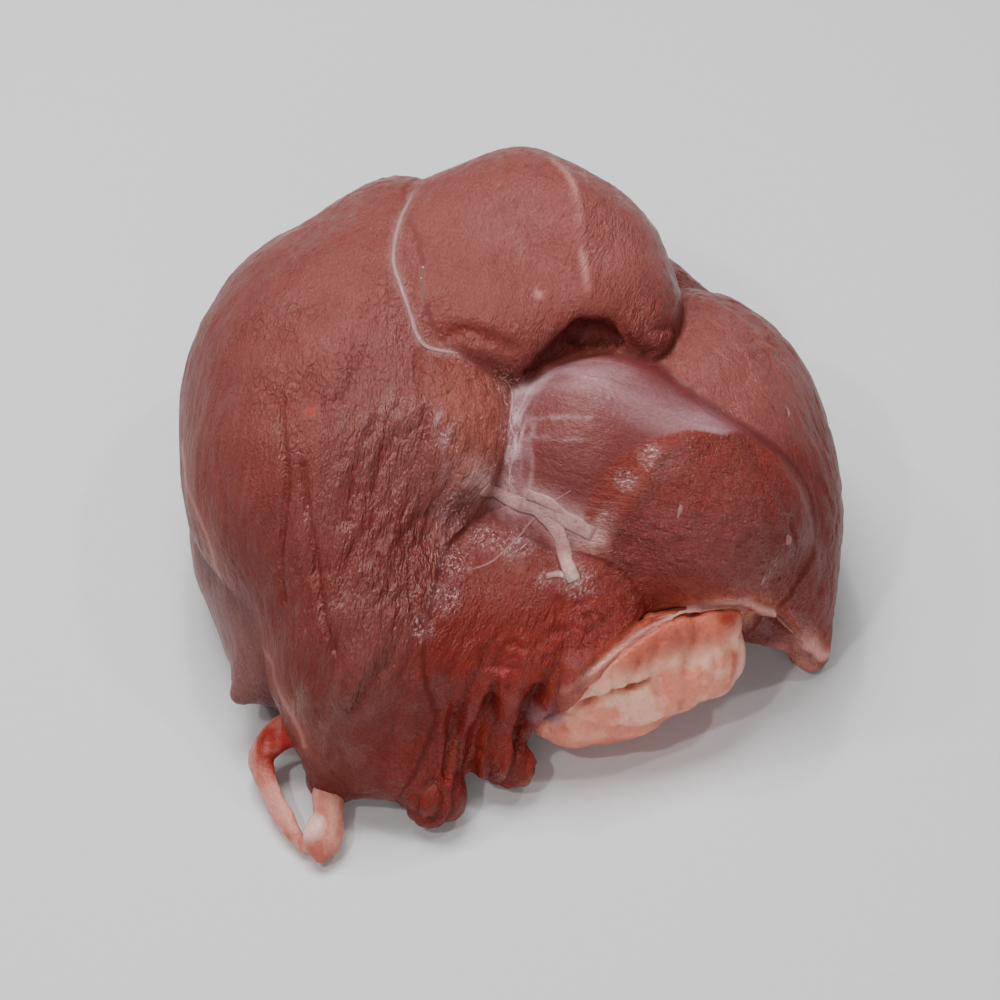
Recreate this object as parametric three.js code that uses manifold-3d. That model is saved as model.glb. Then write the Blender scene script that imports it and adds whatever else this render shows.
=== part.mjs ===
// A raw boneless veal joint: several muscles held together by thin connective tissue, with a
// pad of fat under its front edge, a white forked tendon and two loose strips of sinew.
// Millimetres, +Z up. The origin is on the surface that the joint lies on, under its middle.

import * as THREE from 'three';
import { mergeVertices } from 'three/addons/utils/BufferGeometryUtils.js';
import Module from 'manifold-3d';

// Driving dimensions, in millimetres
const MEAT_CELL = 6.3;          // size of the cells that the muscles' surface is drawn in
const FAT_CELL = 4.6;
const STRIP_CELL = 2.6;
const TENDON_CELL = 2.3;
const GAP = 0.4;                // air between two tissues that touch
const BASE_ROUND = 6;           // how softly the sides turn into the flat underside
const CAVE_ROUND = 6;
const GROOVE_DEPTH = 1.4;       // furrow along every seam between two muscles
const GROOVE_WIDTH = 4;
const TENDON_SUNK = 0.3;        // part of the tendon's radius that its middle line lies under the surface
const TENDON_RADII = [2.6, 3.4, 3.8, 3.6];
const BRANCH_RADII = [3.6, 3.2, 2.8];
const TENDON_STEPS = 12;        // straight pieces that each smooth line is made of
const BRANCH_STEPS = 7;
const SINEW_STEPS = 16;

// How closely a surface is followed
const SLOPE_STEP = 0.2;         // millimetres between the two values that a slope is taken from
const LEAST_SLOPE = 0.3;        // squared, so that a flat place in a field throws no vertex far
const SETTLE_TURNS = 5;
const SETTLE_LIMIT = 0.35;      // part of a cell that a vertex may move along each axis
const JUST_INSIDE = 0.02;       // depth, as a part of a cell, that a filled corner is given
const LOWEST_TOP = 20;          // the meat's upper surface is looked for between these two heights
const HIGHEST_TOP = 140;
const HEIGHT_ERROR = 0.05;
const WELD = 0.001;             // vertices closer than this are one

// Each muscle is a few rounded lobes and tapering strands. The lobes of one muscle melt into
// each other over the distance melt, and the muscle meets its neighbours over the distance seam.
// A lobe has its centre, its three half sizes and its turn about Z, Y and X in degrees.
// A strand runs through its points, with a radius at each.
const MUSCLES = {
  left: {
    melt: 16, seam: 5,
    lobes: [
      lobe([-38, 61, 55], [66, 60, 54], [14, 0, 0]),
      lobe([-59, 20, 52], [45, 58, 46], [10, 0, 0]),
      lobe([-43, -27, 36], [33, 46, 36], [-6, 0, 0]),
      lobe([-18, 15, 71], [26, 25, 22]),
      lobe([-33, 87, 78], [24, 36, 28]),
      lobe([-43, -53, 24], [18, 26, 16]),
    ],
    strands: [
      strand([[-47, -52, 28], [-50, -63, 16], [-53, -72, 8]], [16, 11, 7]),
      strand([[-33, -52, 28], [-35, -71, 17]], [14, 7]),
    ],
  },
  under: {
    melt: 12, seam: 3,
    lobes: [
      lobe([-56, 18, 26], [47, 72, 40], [12, 0, 0]),
      lobe([20, 48, 22], [84, 76, 40]),
      lobe([-60, -12, 22], [29, 40, 30]),
    ],
    strands: [
      strand([[-68, -34, 26], [-79, -44, 22], [-83, -48, 20]], [9, 4, 2]),
    ],
  },
  back: {
    melt: 12, seam: 3,
    lobes: [
      lobe([18, 90, 46], [60, 34, 42], [-8, 0, 0]),
      lobe([58, 66, 34], [42, 36, 38], [-30, 0, 0]),
    ],
  },
  top: {
    melt: 16, seam: 7,
    lobes: [
      lobe([26, 77, 87], [25, 30, 30], [-30, 0, 0]),
      lobe([7, 94, 84], [31, 33, 33]),
      lobe([-21, 71, 82], [26, 33, 25]),
      lobe([-20, 87, 84], [26, 27, 25]),
      lobe([-8, 52, 82], [30, 22, 25]),
      lobe([2, 41, 90], [25, 15, 11], [-12, 0, 0]),
      lobe([43, 59, 88], [17, 27, 17], [10, 0, 0]),
      lobe([24, 50, 89], [22, 13, 12], [10, 0, 0]),
    ],
  },
  right: {
    melt: 14, seam: 3,
    lobes: [
      lobe([63, 40, 46], [45, 58, 46], [17, 0, 0]),
      lobe([85, 4, 34], [26, 35, 32], [-10, 0, 0]),
      lobe([98, -10, 14], [10, 13, 15]),
    ],
    strands: [
      strand([[96, -13, 9], [103, -20, 4]], [6, 4]),
    ],
  },
  centre: {
    melt: 10, seam: 3,
    lobes: [
      lobe([33, 18, 55], [46, 44, 40], [-18, 0, 0]),
      lobe([62, 0, 46], [42, 36, 41], [-14, 0, 0]),
      lobe([48, 13, 60], [40, 22, 30], [-16, 0, 0]),
      lobe([29, 27, 80], [22, 17, 14]),
    ],
  },
  rim: {
    melt: 3, seam: 3,
    strands: [
      strand([[20, -58, 35], [30, -54, 41], [38, -48, 44], [44, -44, 46], [50, -40, 47], [57, -37, 48],
        [70, -35, 49], [79, -33, 47], [87, -30, 39], [99, -25, 18]],
      [1.5, 2, 2.2, 2.2, 2.2, 2.2, 2.2, 2.6, 2.6, 2]),
    ],
  },
  low: {
    melt: 7, seam: 13,
    lobes: [
      lobe([0, -20, 34], [46, 42, 29]),
      lobe([18, -33, 30], [26, 26, 22]),
      lobe([28, -25, 45], [17, 20, 17]),
      lobe([-20, -34, 40], [22, 30, 21]),
    ],
    strands: [
      strand([[-19, -41, 36], [-21, -59, 22], [-22, -72, 13], [-20, -80, 10]], [14, 13, 11, 9.5]),
      strand([[-8, -49, 32], [-5, -60, 18], [0, -67, 12], [4, -67, 9]], [12, 11, 9, 8]),
      strand([[3, -51, 32], [6, -56, 24], [4, -59, 18]], [8, 6, 5]),
    ],
  },
};

const FAT = {
  melt: 6,
  lobes: [
    lobe([44, -42, 22], [32, 18, 15], [22, -8, 0]),
    lobe([60, -34, 27], [18, 18, 15], [20, 0, 0]),
    lobe([26, -48, 16], [18, 13, 11], [20, 0, 0]),
  ],
  strands: [
    strand([[21, -53, 25], [30, -51, 32], [39, -46, 36], [48, -41, 38], [58, -37, 40], [68, -34, 40]],
      [8, 9, 9, 8.5, 8, 7]),
  ],
};

const OUTER_SINEW = {
  strands: [
    smoothStrand([[-66, -58, 16], [-73, -61, 13], [-76, -66, 10], [-73, -75, 8], [-69, -83, 6],
      [-65, -90, 5], [-61, -95, 4]], [5, 4.6, 4, 3.8, 3.4, 3, 2.8]),
  ],
};

const INNER_SINEW = {
  strands: [
    smoothStrand([[-52, -68, 12], [-54, -79, 9], [-54, -87, 8], [-55, -94, 7], [-56, -100, 5]],
      [6, 4.8, 4.8, 6.2, 4]),
  ],
};

const CAVES = [
  strand([[9, 29, 91], [13, 31, 93], [19, 34, 94], [26, 38, 95], [32, 39, 95], [37, 39, 94]],
    [1.5, 2.5, 4, 5.5, 4.5, 2]),
  strand([[80, -20, 8], [87, -21, 4], [92, -24, 0]], [9, 8, 5]),
  strand([[12, -59, 10], [19, -57, 0]], [6, 8]),
];

// The tendon lies on the surface: its points are given by x and y alone
const TENDON_LINE = [[-9, -5], [1, -12], [14, -18], [29, -23]];
const BRANCH_LINE = [[14, -18], [20, -29], [23, -39]];
const TENDON_MELT = 2;

const LOOKS = {
  muscle: { color: '#8f4a42', roughness: 0.45, metalness: 0 },
  fat: { color: '#d6a291', roughness: 0.4, metalness: 0 },
  tendon: { color: '#c9a79b', roughness: 0.35, metalness: 0 },
  sinew: { color: '#c49080', roughness: 0.4, metalness: 0 },
};

// Low and high corner of the space that each surface is looked for in
const MEAT_SPACE = [[-118, -104, -2 * MEAT_CELL], [126, 146, 136]];
const FAT_SPACE = [[-2, -76, -2 * FAT_CELL], [98, 0, 56]];
const OUTER_SPACE = [[-88, -106, -2 * STRIP_CELL], [-48, -40, 30]];
const INNER_SPACE = [[-72, -112, -2 * STRIP_CELL], [-40, -52, 30]];
const TENDON_SPACE = [[-20, -50, 50], [40, 8, 96]];

function lobe(centre, half, turn = [0, 0, 0]) {
  const [a, b, c] = turn.map(THREE.MathUtils.degToRad);
  const matrix = new THREE.Matrix4().makeRotationFromEuler(new THREE.Euler(c, b, a, 'ZYX'));
  return { centre, half, axes: matrix.elements };
}

function strand(points, radii) {
  return { points, radii };
}

// Distance fields: negative inside, about one millimetre of value for one of distance

function lobeDistance(x, y, z, { centre, half, axes }) {
  const dx = x - centre[0];
  const dy = y - centre[1];
  const dz = z - centre[2];
  let near = 0;
  let slope = 0;
  for (let i = 0; i < 3; i++) {
    const along = dx * axes[4 * i] + dy * axes[4 * i + 1] + dz * axes[4 * i + 2];
    near += (along / half[i]) ** 2;
    slope += (along / half[i] ** 2) ** 2;
  }
  near = Math.sqrt(near);
  return near * (near - 1) / (Math.sqrt(slope) + 1e-9);
}

function strandDistance(x, y, z, { points, radii }) {
  let best = Infinity;
  for (let i = 0; i + 1 < points.length; i++) {
    const [ax, ay, az] = points[i];
    const bx = points[i + 1][0] - ax;
    const by = points[i + 1][1] - ay;
    const bz = points[i + 1][2] - az;
    const along = ((x - ax) * bx + (y - ay) * by + (z - az) * bz) / (bx * bx + by * by + bz * bz);
    const t = Math.min(1, Math.max(0, along));
    const away = Math.hypot(x - ax - t * bx, y - ay - t * by, z - az - t * bz);
    best = Math.min(best, away - radii[i] - (radii[i + 1] - radii[i]) * t);
  }
  return best;
}

function meltMin(a, b, width) {
  if (!width) return Math.min(a, b);
  const h = Math.min(1, Math.max(0, 0.5 + 0.5 * (b - a) / width));
  return b + (a - b) * h - width * h * (1 - h);
}

function meltMax(a, b, width) {
  return -meltMin(-a, -b, width);
}

function tissueDistance(x, y, z, { melt = 0, lobes = [], strands = [] }) {
  let best = null;
  for (const item of lobes) {
    const d = lobeDistance(x, y, z, item);
    best = best === null ? d : meltMin(best, d, melt);
  }
  for (const item of strands) {
    const d = strandDistance(x, y, z, item);
    best = best === null ? d : meltMin(best, d, melt);
  }
  return best;
}

function onFloor(distance, z) {
  return meltMax(distance, -z, BASE_ROUND);
}

function meatDistance(x, y, z) {
  let best = null;
  let nearest = Infinity;
  let second = Infinity;
  for (const muscle of Object.values(MUSCLES)) {
    const d = tissueDistance(x, y, z, muscle);
    best = best === null ? d : meltMin(best, d, muscle.seam);
    second = Math.min(second, Math.max(nearest, d));
    nearest = Math.min(nearest, d);
  }
  best += GROOVE_DEPTH * Math.exp(-(((second - nearest) / GROOVE_WIDTH) ** 2));
  for (const cave of CAVES) {
    best = meltMax(best, -strandDistance(x, y, z, cave), CAVE_ROUND);
  }
  return onFloor(best, z);
}

function fatDistance(x, y, z) {
  return onFloor(tissueDistance(x, y, z, FAT), z);
}

function sinewDistance(tissue) {
  return (x, y, z) => Math.max(tissueDistance(x, y, z, tissue), -z);
}

// Height of the meat's upper surface over a point of the floor
function surfaceHeight(x, y) {
  let low = LOWEST_TOP;
  let high = HIGHEST_TOP;
  while (high - low > HEIGHT_ERROR) {
    const middle = (low + high) / 2;
    if (meatDistance(x, y, middle) < 0) low = middle;
    else high = middle;
  }
  return low;
}

// Values between the given ones, evenly along the line
function spread(values, steps) {
  return Array.from({ length: steps + 1 }, (_, i) => {
    const place = i / steps * (values.length - 1);
    const before = Math.min(values.length - 2, Math.floor(place));
    return values[before] + (values[before + 1] - values[before]) * (place - before);
  });
}

function smoothStrand(points, radii) {
  const curve = new THREE.CatmullRomCurve3(points.map((p) => new THREE.Vector3(...p)));
  const smooth = curve.getPoints(SINEW_STEPS).map((p) => p.toArray());
  return strand(smooth, spread(radii, SINEW_STEPS));
}

function strandOnSurface(line, given, steps) {
  const curve = new THREE.CatmullRomCurve3(line.map(([x, y]) => new THREE.Vector3(x, y, 0)));
  const radii = spread(given, steps);
  const points = curve.getPoints(steps).map(({ x, y }, i) => (
    [x, y, surfaceHeight(x, y) - TENDON_SUNK * radii[i]]));
  return strand(points, radii);
}

function tendonDistance() {
  const tendon = {
    melt: TENDON_MELT,
    strands: [
      strandOnSurface(TENDON_LINE, TENDON_RADII, TENDON_STEPS),
      strandOnSurface(BRANCH_LINE, BRANCH_RADII, BRANCH_STEPS),
    ],
  };
  return (x, y, z) => tissueDistance(x, y, z, tendon);
}

// Surface of a distance field, drawn as one vertex in each cell that it crosses

const CORNERS = [0, 1, 2, 3, 4, 5, 6, 7].map((i) => [i & 1, (i >> 1) & 1, i >> 2]);
const CELL_EDGES = [];
for (let a = 0; a < 8; a++) {
  for (const bit of [1, 2, 4]) {
    if (!(a & bit)) CELL_EDGES.push([a, a | bit]);
  }
}

function sampleField(field, low, high, cell) {
  const count = low.map((v, i) => Math.ceil((high[i] - v) / cell) + 1);
  const values = new Float64Array(count[0] * count[1] * count[2]);
  for (let k = 0, n = 0; k < count[2]; k++) {
    for (let j = 0; j < count[1]; j++) {
      for (let i = 0; i < count[0]; i++, n++) {
        values[n] = field(low[0] + i * cell, low[1] + j * cell, low[2] + k * cell);
      }
    }
  }
  return { values, count, low, cell };
}

function cornerIndex({ count }, i, j, k) {
  return (k * count[1] + j) * count[0] + i;
}

// True where the corners of one sign in a cell fall into two groups with no edge between them
function isSplit(inside, wanted) {
  const left = new Set(inside.map((v, i) => (v === wanted ? i : -1)).filter((i) => i >= 0));
  if (left.size < 2) return false;
  const reached = [left.values().next().value];
  left.delete(reached[0]);
  while (reached.length) {
    const here = reached.pop();
    for (const bit of [1, 2, 4]) {
      if (left.delete(here ^ bit)) reached.push(here ^ bit);
    }
  }
  return left.size > 0;
}

// A cell that the surface would cross twice is filled corner by corner, the nearest one first,
// so that the mesh stays one clean skin
function fillSplitCells(grid) {
  const { values, count, cell } = grid;
  for (let changed = true; changed;) {
    changed = false;
    for (let k = 0; k + 1 < count[2]; k++) {
      for (let j = 0; j + 1 < count[1]; j++) {
        for (let i = 0; i + 1 < count[0]; i++) {
          const at = CORNERS.map(([x, y, z]) => cornerIndex(grid, i + x, j + y, k + z));
          const inside = at.map((n) => values[n] < 0);
          if (isSplit(inside, true) || isSplit(inside, false)) {
            const open = at.filter((n) => values[n] >= 0);
            const nearest = open.reduce((a, b) => (values[a] < values[b] ? a : b));
            values[nearest] = -JUST_INSIDE * cell;
            changed = true;
          }
        }
      }
    }
  }
}

function moveOntoSurface(field, point, limit) {
  const h = SLOPE_STEP;
  const start = [...point];
  for (let turn = 0; turn < SETTLE_TURNS; turn++) {
    const [x, y, z] = point;
    const here = field(x, y, z);
    const slope = [
      (field(x + h, y, z) - field(x - h, y, z)) / (2 * h),
      (field(x, y + h, z) - field(x, y - h, z)) / (2 * h),
      (field(x, y, z + h) - field(x, y, z - h)) / (2 * h),
    ];
    const steep = Math.max(LEAST_SLOPE, slope[0] ** 2 + slope[1] ** 2 + slope[2] ** 2);
    for (let i = 0; i < 3; i++) {
      const moved = point[i] - here * slope[i] / steep;
      point[i] = Math.min(start[i] + limit, Math.max(start[i] - limit, moved));
    }
  }
}

function drawSurface(field, low, high, cell) {
  const grid = sampleField(field, low, high, cell);
  fillSplitCells(grid);
  const { values, count } = grid;
  const vertexOf = new Map();
  const positions = [];
  for (let k = 0; k + 1 < count[2]; k++) {
    for (let j = 0; j + 1 < count[1]; j++) {
      for (let i = 0; i + 1 < count[0]; i++) {
        const corner = CORNERS.map(([x, y, z]) => values[cornerIndex(grid, i + x, j + y, k + z)]);
        const crossed = CELL_EDGES.filter(([a, b]) => (corner[a] < 0) !== (corner[b] < 0));
        if (!crossed.length) continue;
        const middle = [0, 0, 0];
        for (const [a, b] of crossed) {
          const t = corner[a] / (corner[a] - corner[b]);
          for (let axis = 0; axis < 3; axis++) {
            middle[axis] += CORNERS[a][axis] + (CORNERS[b][axis] - CORNERS[a][axis]) * t;
          }
        }
        const place = [i, j, k].map((v, axis) => low[axis] + (v + middle[axis] / crossed.length) * cell);
        moveOntoSurface(field, place, SETTLE_LIMIT * cell);
        vertexOf.set(cornerIndex(grid, i, j, k), positions.length / 3);
        positions.push(...place);
      }
    }
  }
  const faces = [];
  const steps = [[1, 0, 0], [0, 1, 0], [0, 0, 1]];
  for (let k = 1; k + 1 < count[2]; k++) {
    for (let j = 1; j + 1 < count[1]; j++) {
      for (let i = 1; i + 1 < count[0]; i++) {
        const here = values[cornerIndex(grid, i, j, k)] < 0;
        steps.forEach((step, axis) => {
          const next = values[cornerIndex(grid, i + step[0], j + step[1], k + step[2])] < 0;
          if (here === next) return;
          const u = steps[(axis + 1) % 3];
          const v = steps[(axis + 2) % 3];
          const round = [[1, 1], [0, 1], [0, 0], [1, 0]].map(([a, b]) => vertexOf.get(cornerIndex(
            grid, i - a * u[0] - b * v[0], j - a * u[1] - b * v[1], k - a * u[2] - b * v[2])));
          addQuad(faces, positions, here ? round : round.reverse());
        });
      }
    }
  }
  return meshToGeometry(positions, faces);
}

// A square of four vertices is cut along its shorter diagonal
function addQuad(faces, positions, [a, b, c, d]) {
  const apart = (p, q) => Math.hypot(...[0, 1, 2].map((i) => positions[3 * p + i] - positions[3 * q + i]));
  if (apart(a, c) < apart(b, d)) faces.push(a, b, c, a, c, d);
  else faces.push(a, b, d, b, c, d);
}

function meshToGeometry(positions, faces) {
  const geometry = new THREE.BufferGeometry();
  geometry.setAttribute('position', new THREE.Float32BufferAttribute(positions, 3));
  geometry.setIndex(faces);
  return geometry;
}

const wasm = await Module();
wasm.setup();

function toSolid(geometry) {
  return new wasm.Manifold(new wasm.Mesh({
    numProp: 3,
    vertProperties: geometry.attributes.position.array,
    triVerts: new Uint32Array(geometry.index.array),
  }));
}

function toGeometry(solid) {
  const mesh = solid.getMesh();
  const geometry = meshToGeometry(Array.from(mesh.vertProperties), Array.from(mesh.triVerts));
  return mergeVertices(geometry, WELD);
}

function drawSolid(field, low, high, cell) {
  return toSolid(drawSurface(field, low, high, cell));
}

// The largest body of a cut solid, without its crumbs
function largestBody(solid) {
  return solid.decompose().sort((a, b) => b.volume() - a.volume())[0];
}

function grown(field, by) {
  return (x, y, z) => field(x, y, z) - by;
}

const root = new THREE.Group();

function addPiece(name, solid, look) {
  const mesh = new THREE.Mesh(toGeometry(solid), new THREE.MeshStandardMaterial(look));
  mesh.name = name;
  root.add(mesh);
}

// Each softer piece sits in a pocket of its own form in the meat
const innerField = sinewDistance(INNER_SINEW);
const outerField = sinewDistance(OUTER_SINEW);
const tendonField = tendonDistance();
const fatPad = drawSolid(fatDistance, ...FAT_SPACE, FAT_CELL);
const tendon = drawSolid(tendonField, ...TENDON_SPACE, TENDON_CELL);
const innerSinew = drawSolid(innerField, ...INNER_SPACE, STRIP_CELL);
const innerPocket = drawSolid(grown(innerField, GAP), ...INNER_SPACE, STRIP_CELL);
const outerSinew = largestBody(
  drawSolid(outerField, ...OUTER_SPACE, STRIP_CELL).subtract(innerPocket));
const meat = largestBody(drawSolid(meatDistance, ...MEAT_SPACE, MEAT_CELL)
  .subtract(drawSolid(grown(fatDistance, GAP), ...FAT_SPACE, FAT_CELL))
  .subtract(drawSolid(grown(tendonField, GAP), ...TENDON_SPACE, TENDON_CELL))
  .subtract(drawSolid(grown(outerField, GAP), ...OUTER_SPACE, STRIP_CELL))
  .subtract(innerPocket));

addPiece('meat', meat, LOOKS.muscle);
addPiece('fat_pad', fatPad, LOOKS.fat);
addPiece('tendon', tendon, LOOKS.tendon);
addPiece('sinew_outer', outerSinew, LOOKS.sinew);
addPiece('sinew_inner', innerSinew, LOOKS.sinew);

export default root;
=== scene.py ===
import math

import bpy
import numpy as np
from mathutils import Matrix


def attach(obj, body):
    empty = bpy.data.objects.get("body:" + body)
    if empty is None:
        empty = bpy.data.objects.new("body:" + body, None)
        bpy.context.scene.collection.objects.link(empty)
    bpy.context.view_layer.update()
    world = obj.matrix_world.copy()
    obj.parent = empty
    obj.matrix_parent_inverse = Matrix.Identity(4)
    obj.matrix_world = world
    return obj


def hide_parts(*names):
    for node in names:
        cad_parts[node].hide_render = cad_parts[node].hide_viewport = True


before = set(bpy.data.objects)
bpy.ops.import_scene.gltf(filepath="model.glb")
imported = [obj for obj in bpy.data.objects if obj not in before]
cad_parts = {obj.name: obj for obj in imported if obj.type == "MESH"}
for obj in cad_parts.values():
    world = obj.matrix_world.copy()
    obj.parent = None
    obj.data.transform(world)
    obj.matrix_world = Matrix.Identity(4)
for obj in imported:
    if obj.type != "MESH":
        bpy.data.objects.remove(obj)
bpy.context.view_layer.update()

# Lengths are in millimetres until a mesh is made, and the frame is in metres
MM = 0.001

# Size of the cells that each tissue's surface is drawn in
MEAT_CELL = 1.0
FAT_CELL = 0.9
STRIP_CELL = 0.7
COARSE_STEP = 5          # the field is first measured on every fifth cell
COARSE_REACH = 1.15      # and exactly within this many coarse steps of the surface
FILL_DEPTH = 0.02        # a filled corner lies this part of a cell inside
SETTLE_REACH = 0.4       # a vertex is moved by no more than this part of a cell
SLOPE_STEP = 0.25        # the field's slope is measured over this length to each side

# Boxes in which the surfaces are looked for
FLESH_BOX = ((-112, -98, -3), (122, 138, 126))
FAT_BOX = ((0, -72, -3), (92, -6, 50))
STRIP_ROOM = 8

# Colours, as they show on a screen from 0 to 255

def linear(red, green, blue):
    values = np.array([red, green, blue]) / 255
    return np.where(values <= 0.04045, values / 12.92, ((values + 0.055) / 1.055) ** 2.4)


PALE_MEAT = linear(142, 79, 74)
MEAT = linear(118, 53, 48)
DARK_MEAT = linear(104, 40, 34)
FLAP_RED = linear(114, 32, 25)
BRIGHT_RED = linear(142, 45, 36)
CUT_RED = linear(130, 50, 44)
CUT_DARK = linear(106, 38, 34)
ORANGE_MEAT = linear(142, 74, 63)
SHEET_BROWN = linear(130, 52, 37)
BEVEL_RED = linear(122, 46, 39)
SILVER_AND_SHEEN = linear(166, 122, 128)
FILM = linear(108, 48, 48)
WHITE_FILM = linear(210, 176, 178)
GREY_SKIN = linear(126, 84, 82)
BROWN_SKIN = linear(116, 62, 58)
PALE_RIM = linear(236, 168, 156)
UNDER_RIM = linear(190, 110, 94)
RIM_ORANGE = linear(190, 92, 66)
BLOOD = linear(170, 30, 26)
CAVE_SHADOW = linear(44, 12, 14)
FAT_PALE = linear(255, 188, 164)
FAT_PINK = linear(232, 124, 98)
FAT_RED = linear(170, 62, 42)
PURPLE = linear(140, 100, 110)
TENDON = linear(208, 160, 154)
TENDON_PINK = linear(172, 106, 98)
SINEW = linear(214, 144, 128)
SINEW_PINK = linear(184, 98, 84)
SINEW_RED = linear(140, 36, 26)
THREAD = linear(190, 142, 140)
CREAM = linear(236, 198, 180)
PAINTED_GLINT = linear(206, 160, 158)

# Form of the joint: the lobes and strands of its muscles, as the solids have them
BASE_ROUND = 6.0
CAVE_ROUND = 6.0
GROOVE_DEPTH = 1.4
GROOVE_WIDTH = 4.0


def lobe(centre, half, turn=0, tip=0):
    """An ellipsoid: its centre, its half axes, and degrees about the vertical and about its second axis."""
    a, b = np.radians((turn, tip))
    about_z = np.array([[math.cos(a), -math.sin(a), 0], [math.sin(a), math.cos(a), 0], [0, 0, 1]])
    about_y = np.array([[math.cos(b), 0, math.sin(b)], [0, 1, 0], [-math.sin(b), 0, math.cos(b)]])
    axes = (about_z @ about_y).astype(np.float32)
    return np.array(centre, np.float32), np.array(half, np.float32), axes


def strand(points, radii):
    """A tube through the points, with a radius at each."""
    return np.array(points, np.float32), np.array(radii, np.float32)


def tissue(melt, seam=0, lobes=(), strands=()):
    """Lobes and strands that melt into each other over one width, and into other tissues over another."""
    return dict(melt=melt, seam=seam, lobes=[lobe(*item) for item in lobes],
                strands=[strand(*item) for item in strands])


# The pale rim over the fat, from the left to the right
RIM = [
    (20, -58, 35), (30, -54, 41), (38, -48, 44), (44, -44, 46), (50, -40, 47), (57, -37, 48),
    (70, -35, 49), (79, -33, 47), (87, -30, 39), (93, -28, 29), (99, -26, 19), (106, -23, 8),
]
MUSCLES = {
    "left": tissue(melt=16, seam=5, lobes=[
        ((-38, 61, 55), (66, 60, 54), 14),
        ((-59, 20, 52), (45, 58, 46), 10),
        ((-43, -27, 36), (33, 46, 36), -6),
        ((-18, 15, 71), (26, 25, 22)),
        ((-33, 87, 78), (24, 36, 28)),
        ((-43, -53, 24), (18, 26, 16)),
    ], strands=[
        ([(-47, -52, 28), (-50, -63, 16), (-53, -72, 8)], (16, 11, 7)),
        ([(-33, -52, 28), (-35, -71, 17)], (14, 7)),
    ]),
    "under": tissue(melt=12, seam=3, lobes=[
        ((-56, 18, 26), (47, 72, 40), 12),
        ((20, 48, 22), (84, 76, 40)),
        ((-60, -12, 22), (29, 40, 30)),
    ], strands=[
        ([(-68, -34, 26), (-79, -44, 22), (-83, -48, 20)], (9, 4, 2)),
    ]),
    "back": tissue(melt=12, seam=3, lobes=[
        ((18, 90, 46), (60, 34, 42), -8),
        ((58, 66, 34), (42, 36, 38), -30),
    ]),
    "top": tissue(melt=16, seam=7, lobes=[
        ((26, 77, 87), (25, 30, 30), -30),
        ((7, 94, 84), (31, 33, 33)),
        ((-21, 71, 82), (26, 33, 25)),
        ((-20, 87, 84), (26, 27, 25)),
        ((-8, 52, 82), (30, 22, 25)),
        ((2, 41, 90), (25, 15, 11), -12),
        ((43, 59, 88), (17, 27, 17), 10),
        ((24, 50, 89), (22, 13, 12), 10),
    ]),
    "right": tissue(melt=14, seam=3, lobes=[
        ((63, 40, 46), (45, 58, 46), 17),
        ((85, 4, 34), (26, 35, 32), -10),
        ((98, -10, 14), (10, 13, 15)),
    ], strands=[
        ([(96, -13, 9), (103, -20, 4)], (6, 4)),
    ]),
    "centre": tissue(melt=10, seam=3, lobes=[
        ((33, 18, 55), (46, 44, 40), -18),
        ((62, 0, 46), (42, 36, 41), -14),
        ((48, 13, 60), (40, 22, 30), -16),
        ((29, 27, 80), (22, 17, 14)),
    ]),
    "rim": tissue(melt=3, seam=3, strands=[
        (RIM[:9] + [(99, -25, 18)], (1.5, 2, 2.2, 2.2, 2.2, 2.2, 2.2, 2.6, 2.6, 2)),
    ]),
    "low": tissue(melt=7, seam=13, lobes=[
        ((0, -20, 34), (46, 42, 29)),
        ((18, -33, 30), (26, 26, 22)),
        ((28, -25, 45), (17, 20, 17)),
        ((-20, -34, 40), (22, 30, 21)),
    ], strands=[
        ([(-19, -41, 36), (-21, -59, 22), (-22, -72, 13), (-20, -80, 10)], (14, 13, 11, 9.5)),
        ([(-8, -49, 32), (-5, -60, 18), (0, -67, 12), (4, -67, 9)], (12, 11, 9, 8)),
        ([(3, -51, 32), (6, -56, 24), (4, -59, 18)], (8, 6, 5)),
    ]),
}
MUSCLE_NAMES = list(MUSCLES)
FAT = tissue(melt=6, lobes=[
    ((44, -42, 22), (32, 18, 15), 22, -8),
    ((60, -34, 27), (18, 18, 15), 20),
    ((26, -48, 16), (18, 13, 11), 20),
], strands=[
    ([(21, -53, 25), (30, -51, 32), (39, -46, 36), (48, -41, 38), (58, -37, 40), (68, -34, 40)],
     (8, 9, 9, 8.5, 8, 7)),
])
CAVES = [
    strand([(9, 29, 91), (13, 31, 93), (19, 34, 94), (26, 38, 95), (32, 39, 95), (37, 39, 94)],
           (1.5, 2.5, 4, 5.5, 4.5, 2)),
    strand([(80, -20, 8), (87, -21, 4), (92, -24, 0)], (9, 8, 5)),
    strand([(12, -59, 10), (19, -57, 0)], (6, 8)),
]
# Loose strips of sinew: a route, its radii, the direction that it is flat in, and coloured spots
STRIP_THINNESS = 1.7
STRIPS = {
    "outer_strip": dict(
        line=[(-66, -58, 16), (-73, -61, 13), (-76, -66, 10), (-73, -75, 8), (-69, -83, 6),
              (-65, -90, 5), (-61, -95, 4)],
        radii=(6, 5.4, 4.4, 3.8, 3.2, 2.8, 2.2), flat=(-0.5, -0.3, 0.8), seed=151,
        stains=[(SINEW_RED, (-70, -62, 13), 15), (BLOOD, (-67, -60, 14), 8)]),
    "inner_strip": dict(
        line=[(-52, -68, 12), (-54, -79, 9), (-54, -87, 8), (-55, -94, 7), (-56, -100, 5)],
        radii=(6.5, 5, 4.8, 6.4, 2.0), flat=(0.2, -0.5, 0.8), seed=161,
        stains=[(SINEW_RED, (-51, -70, 13), 7), (CREAM, (-59, -92, 10), 6.5),
                (SINEW_PINK, (-56, -100, 6), 7)]),
}

# Camera: at the photograph's angle, 0.9 m from the middle of the joint
CAMERA_ELEVATION = 48.0
CAMERA_DISTANCE = 0.9
CAMERA_TARGET = (0.0, 0.0, 0.060)
CAMERA_LENS = 101.25

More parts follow.
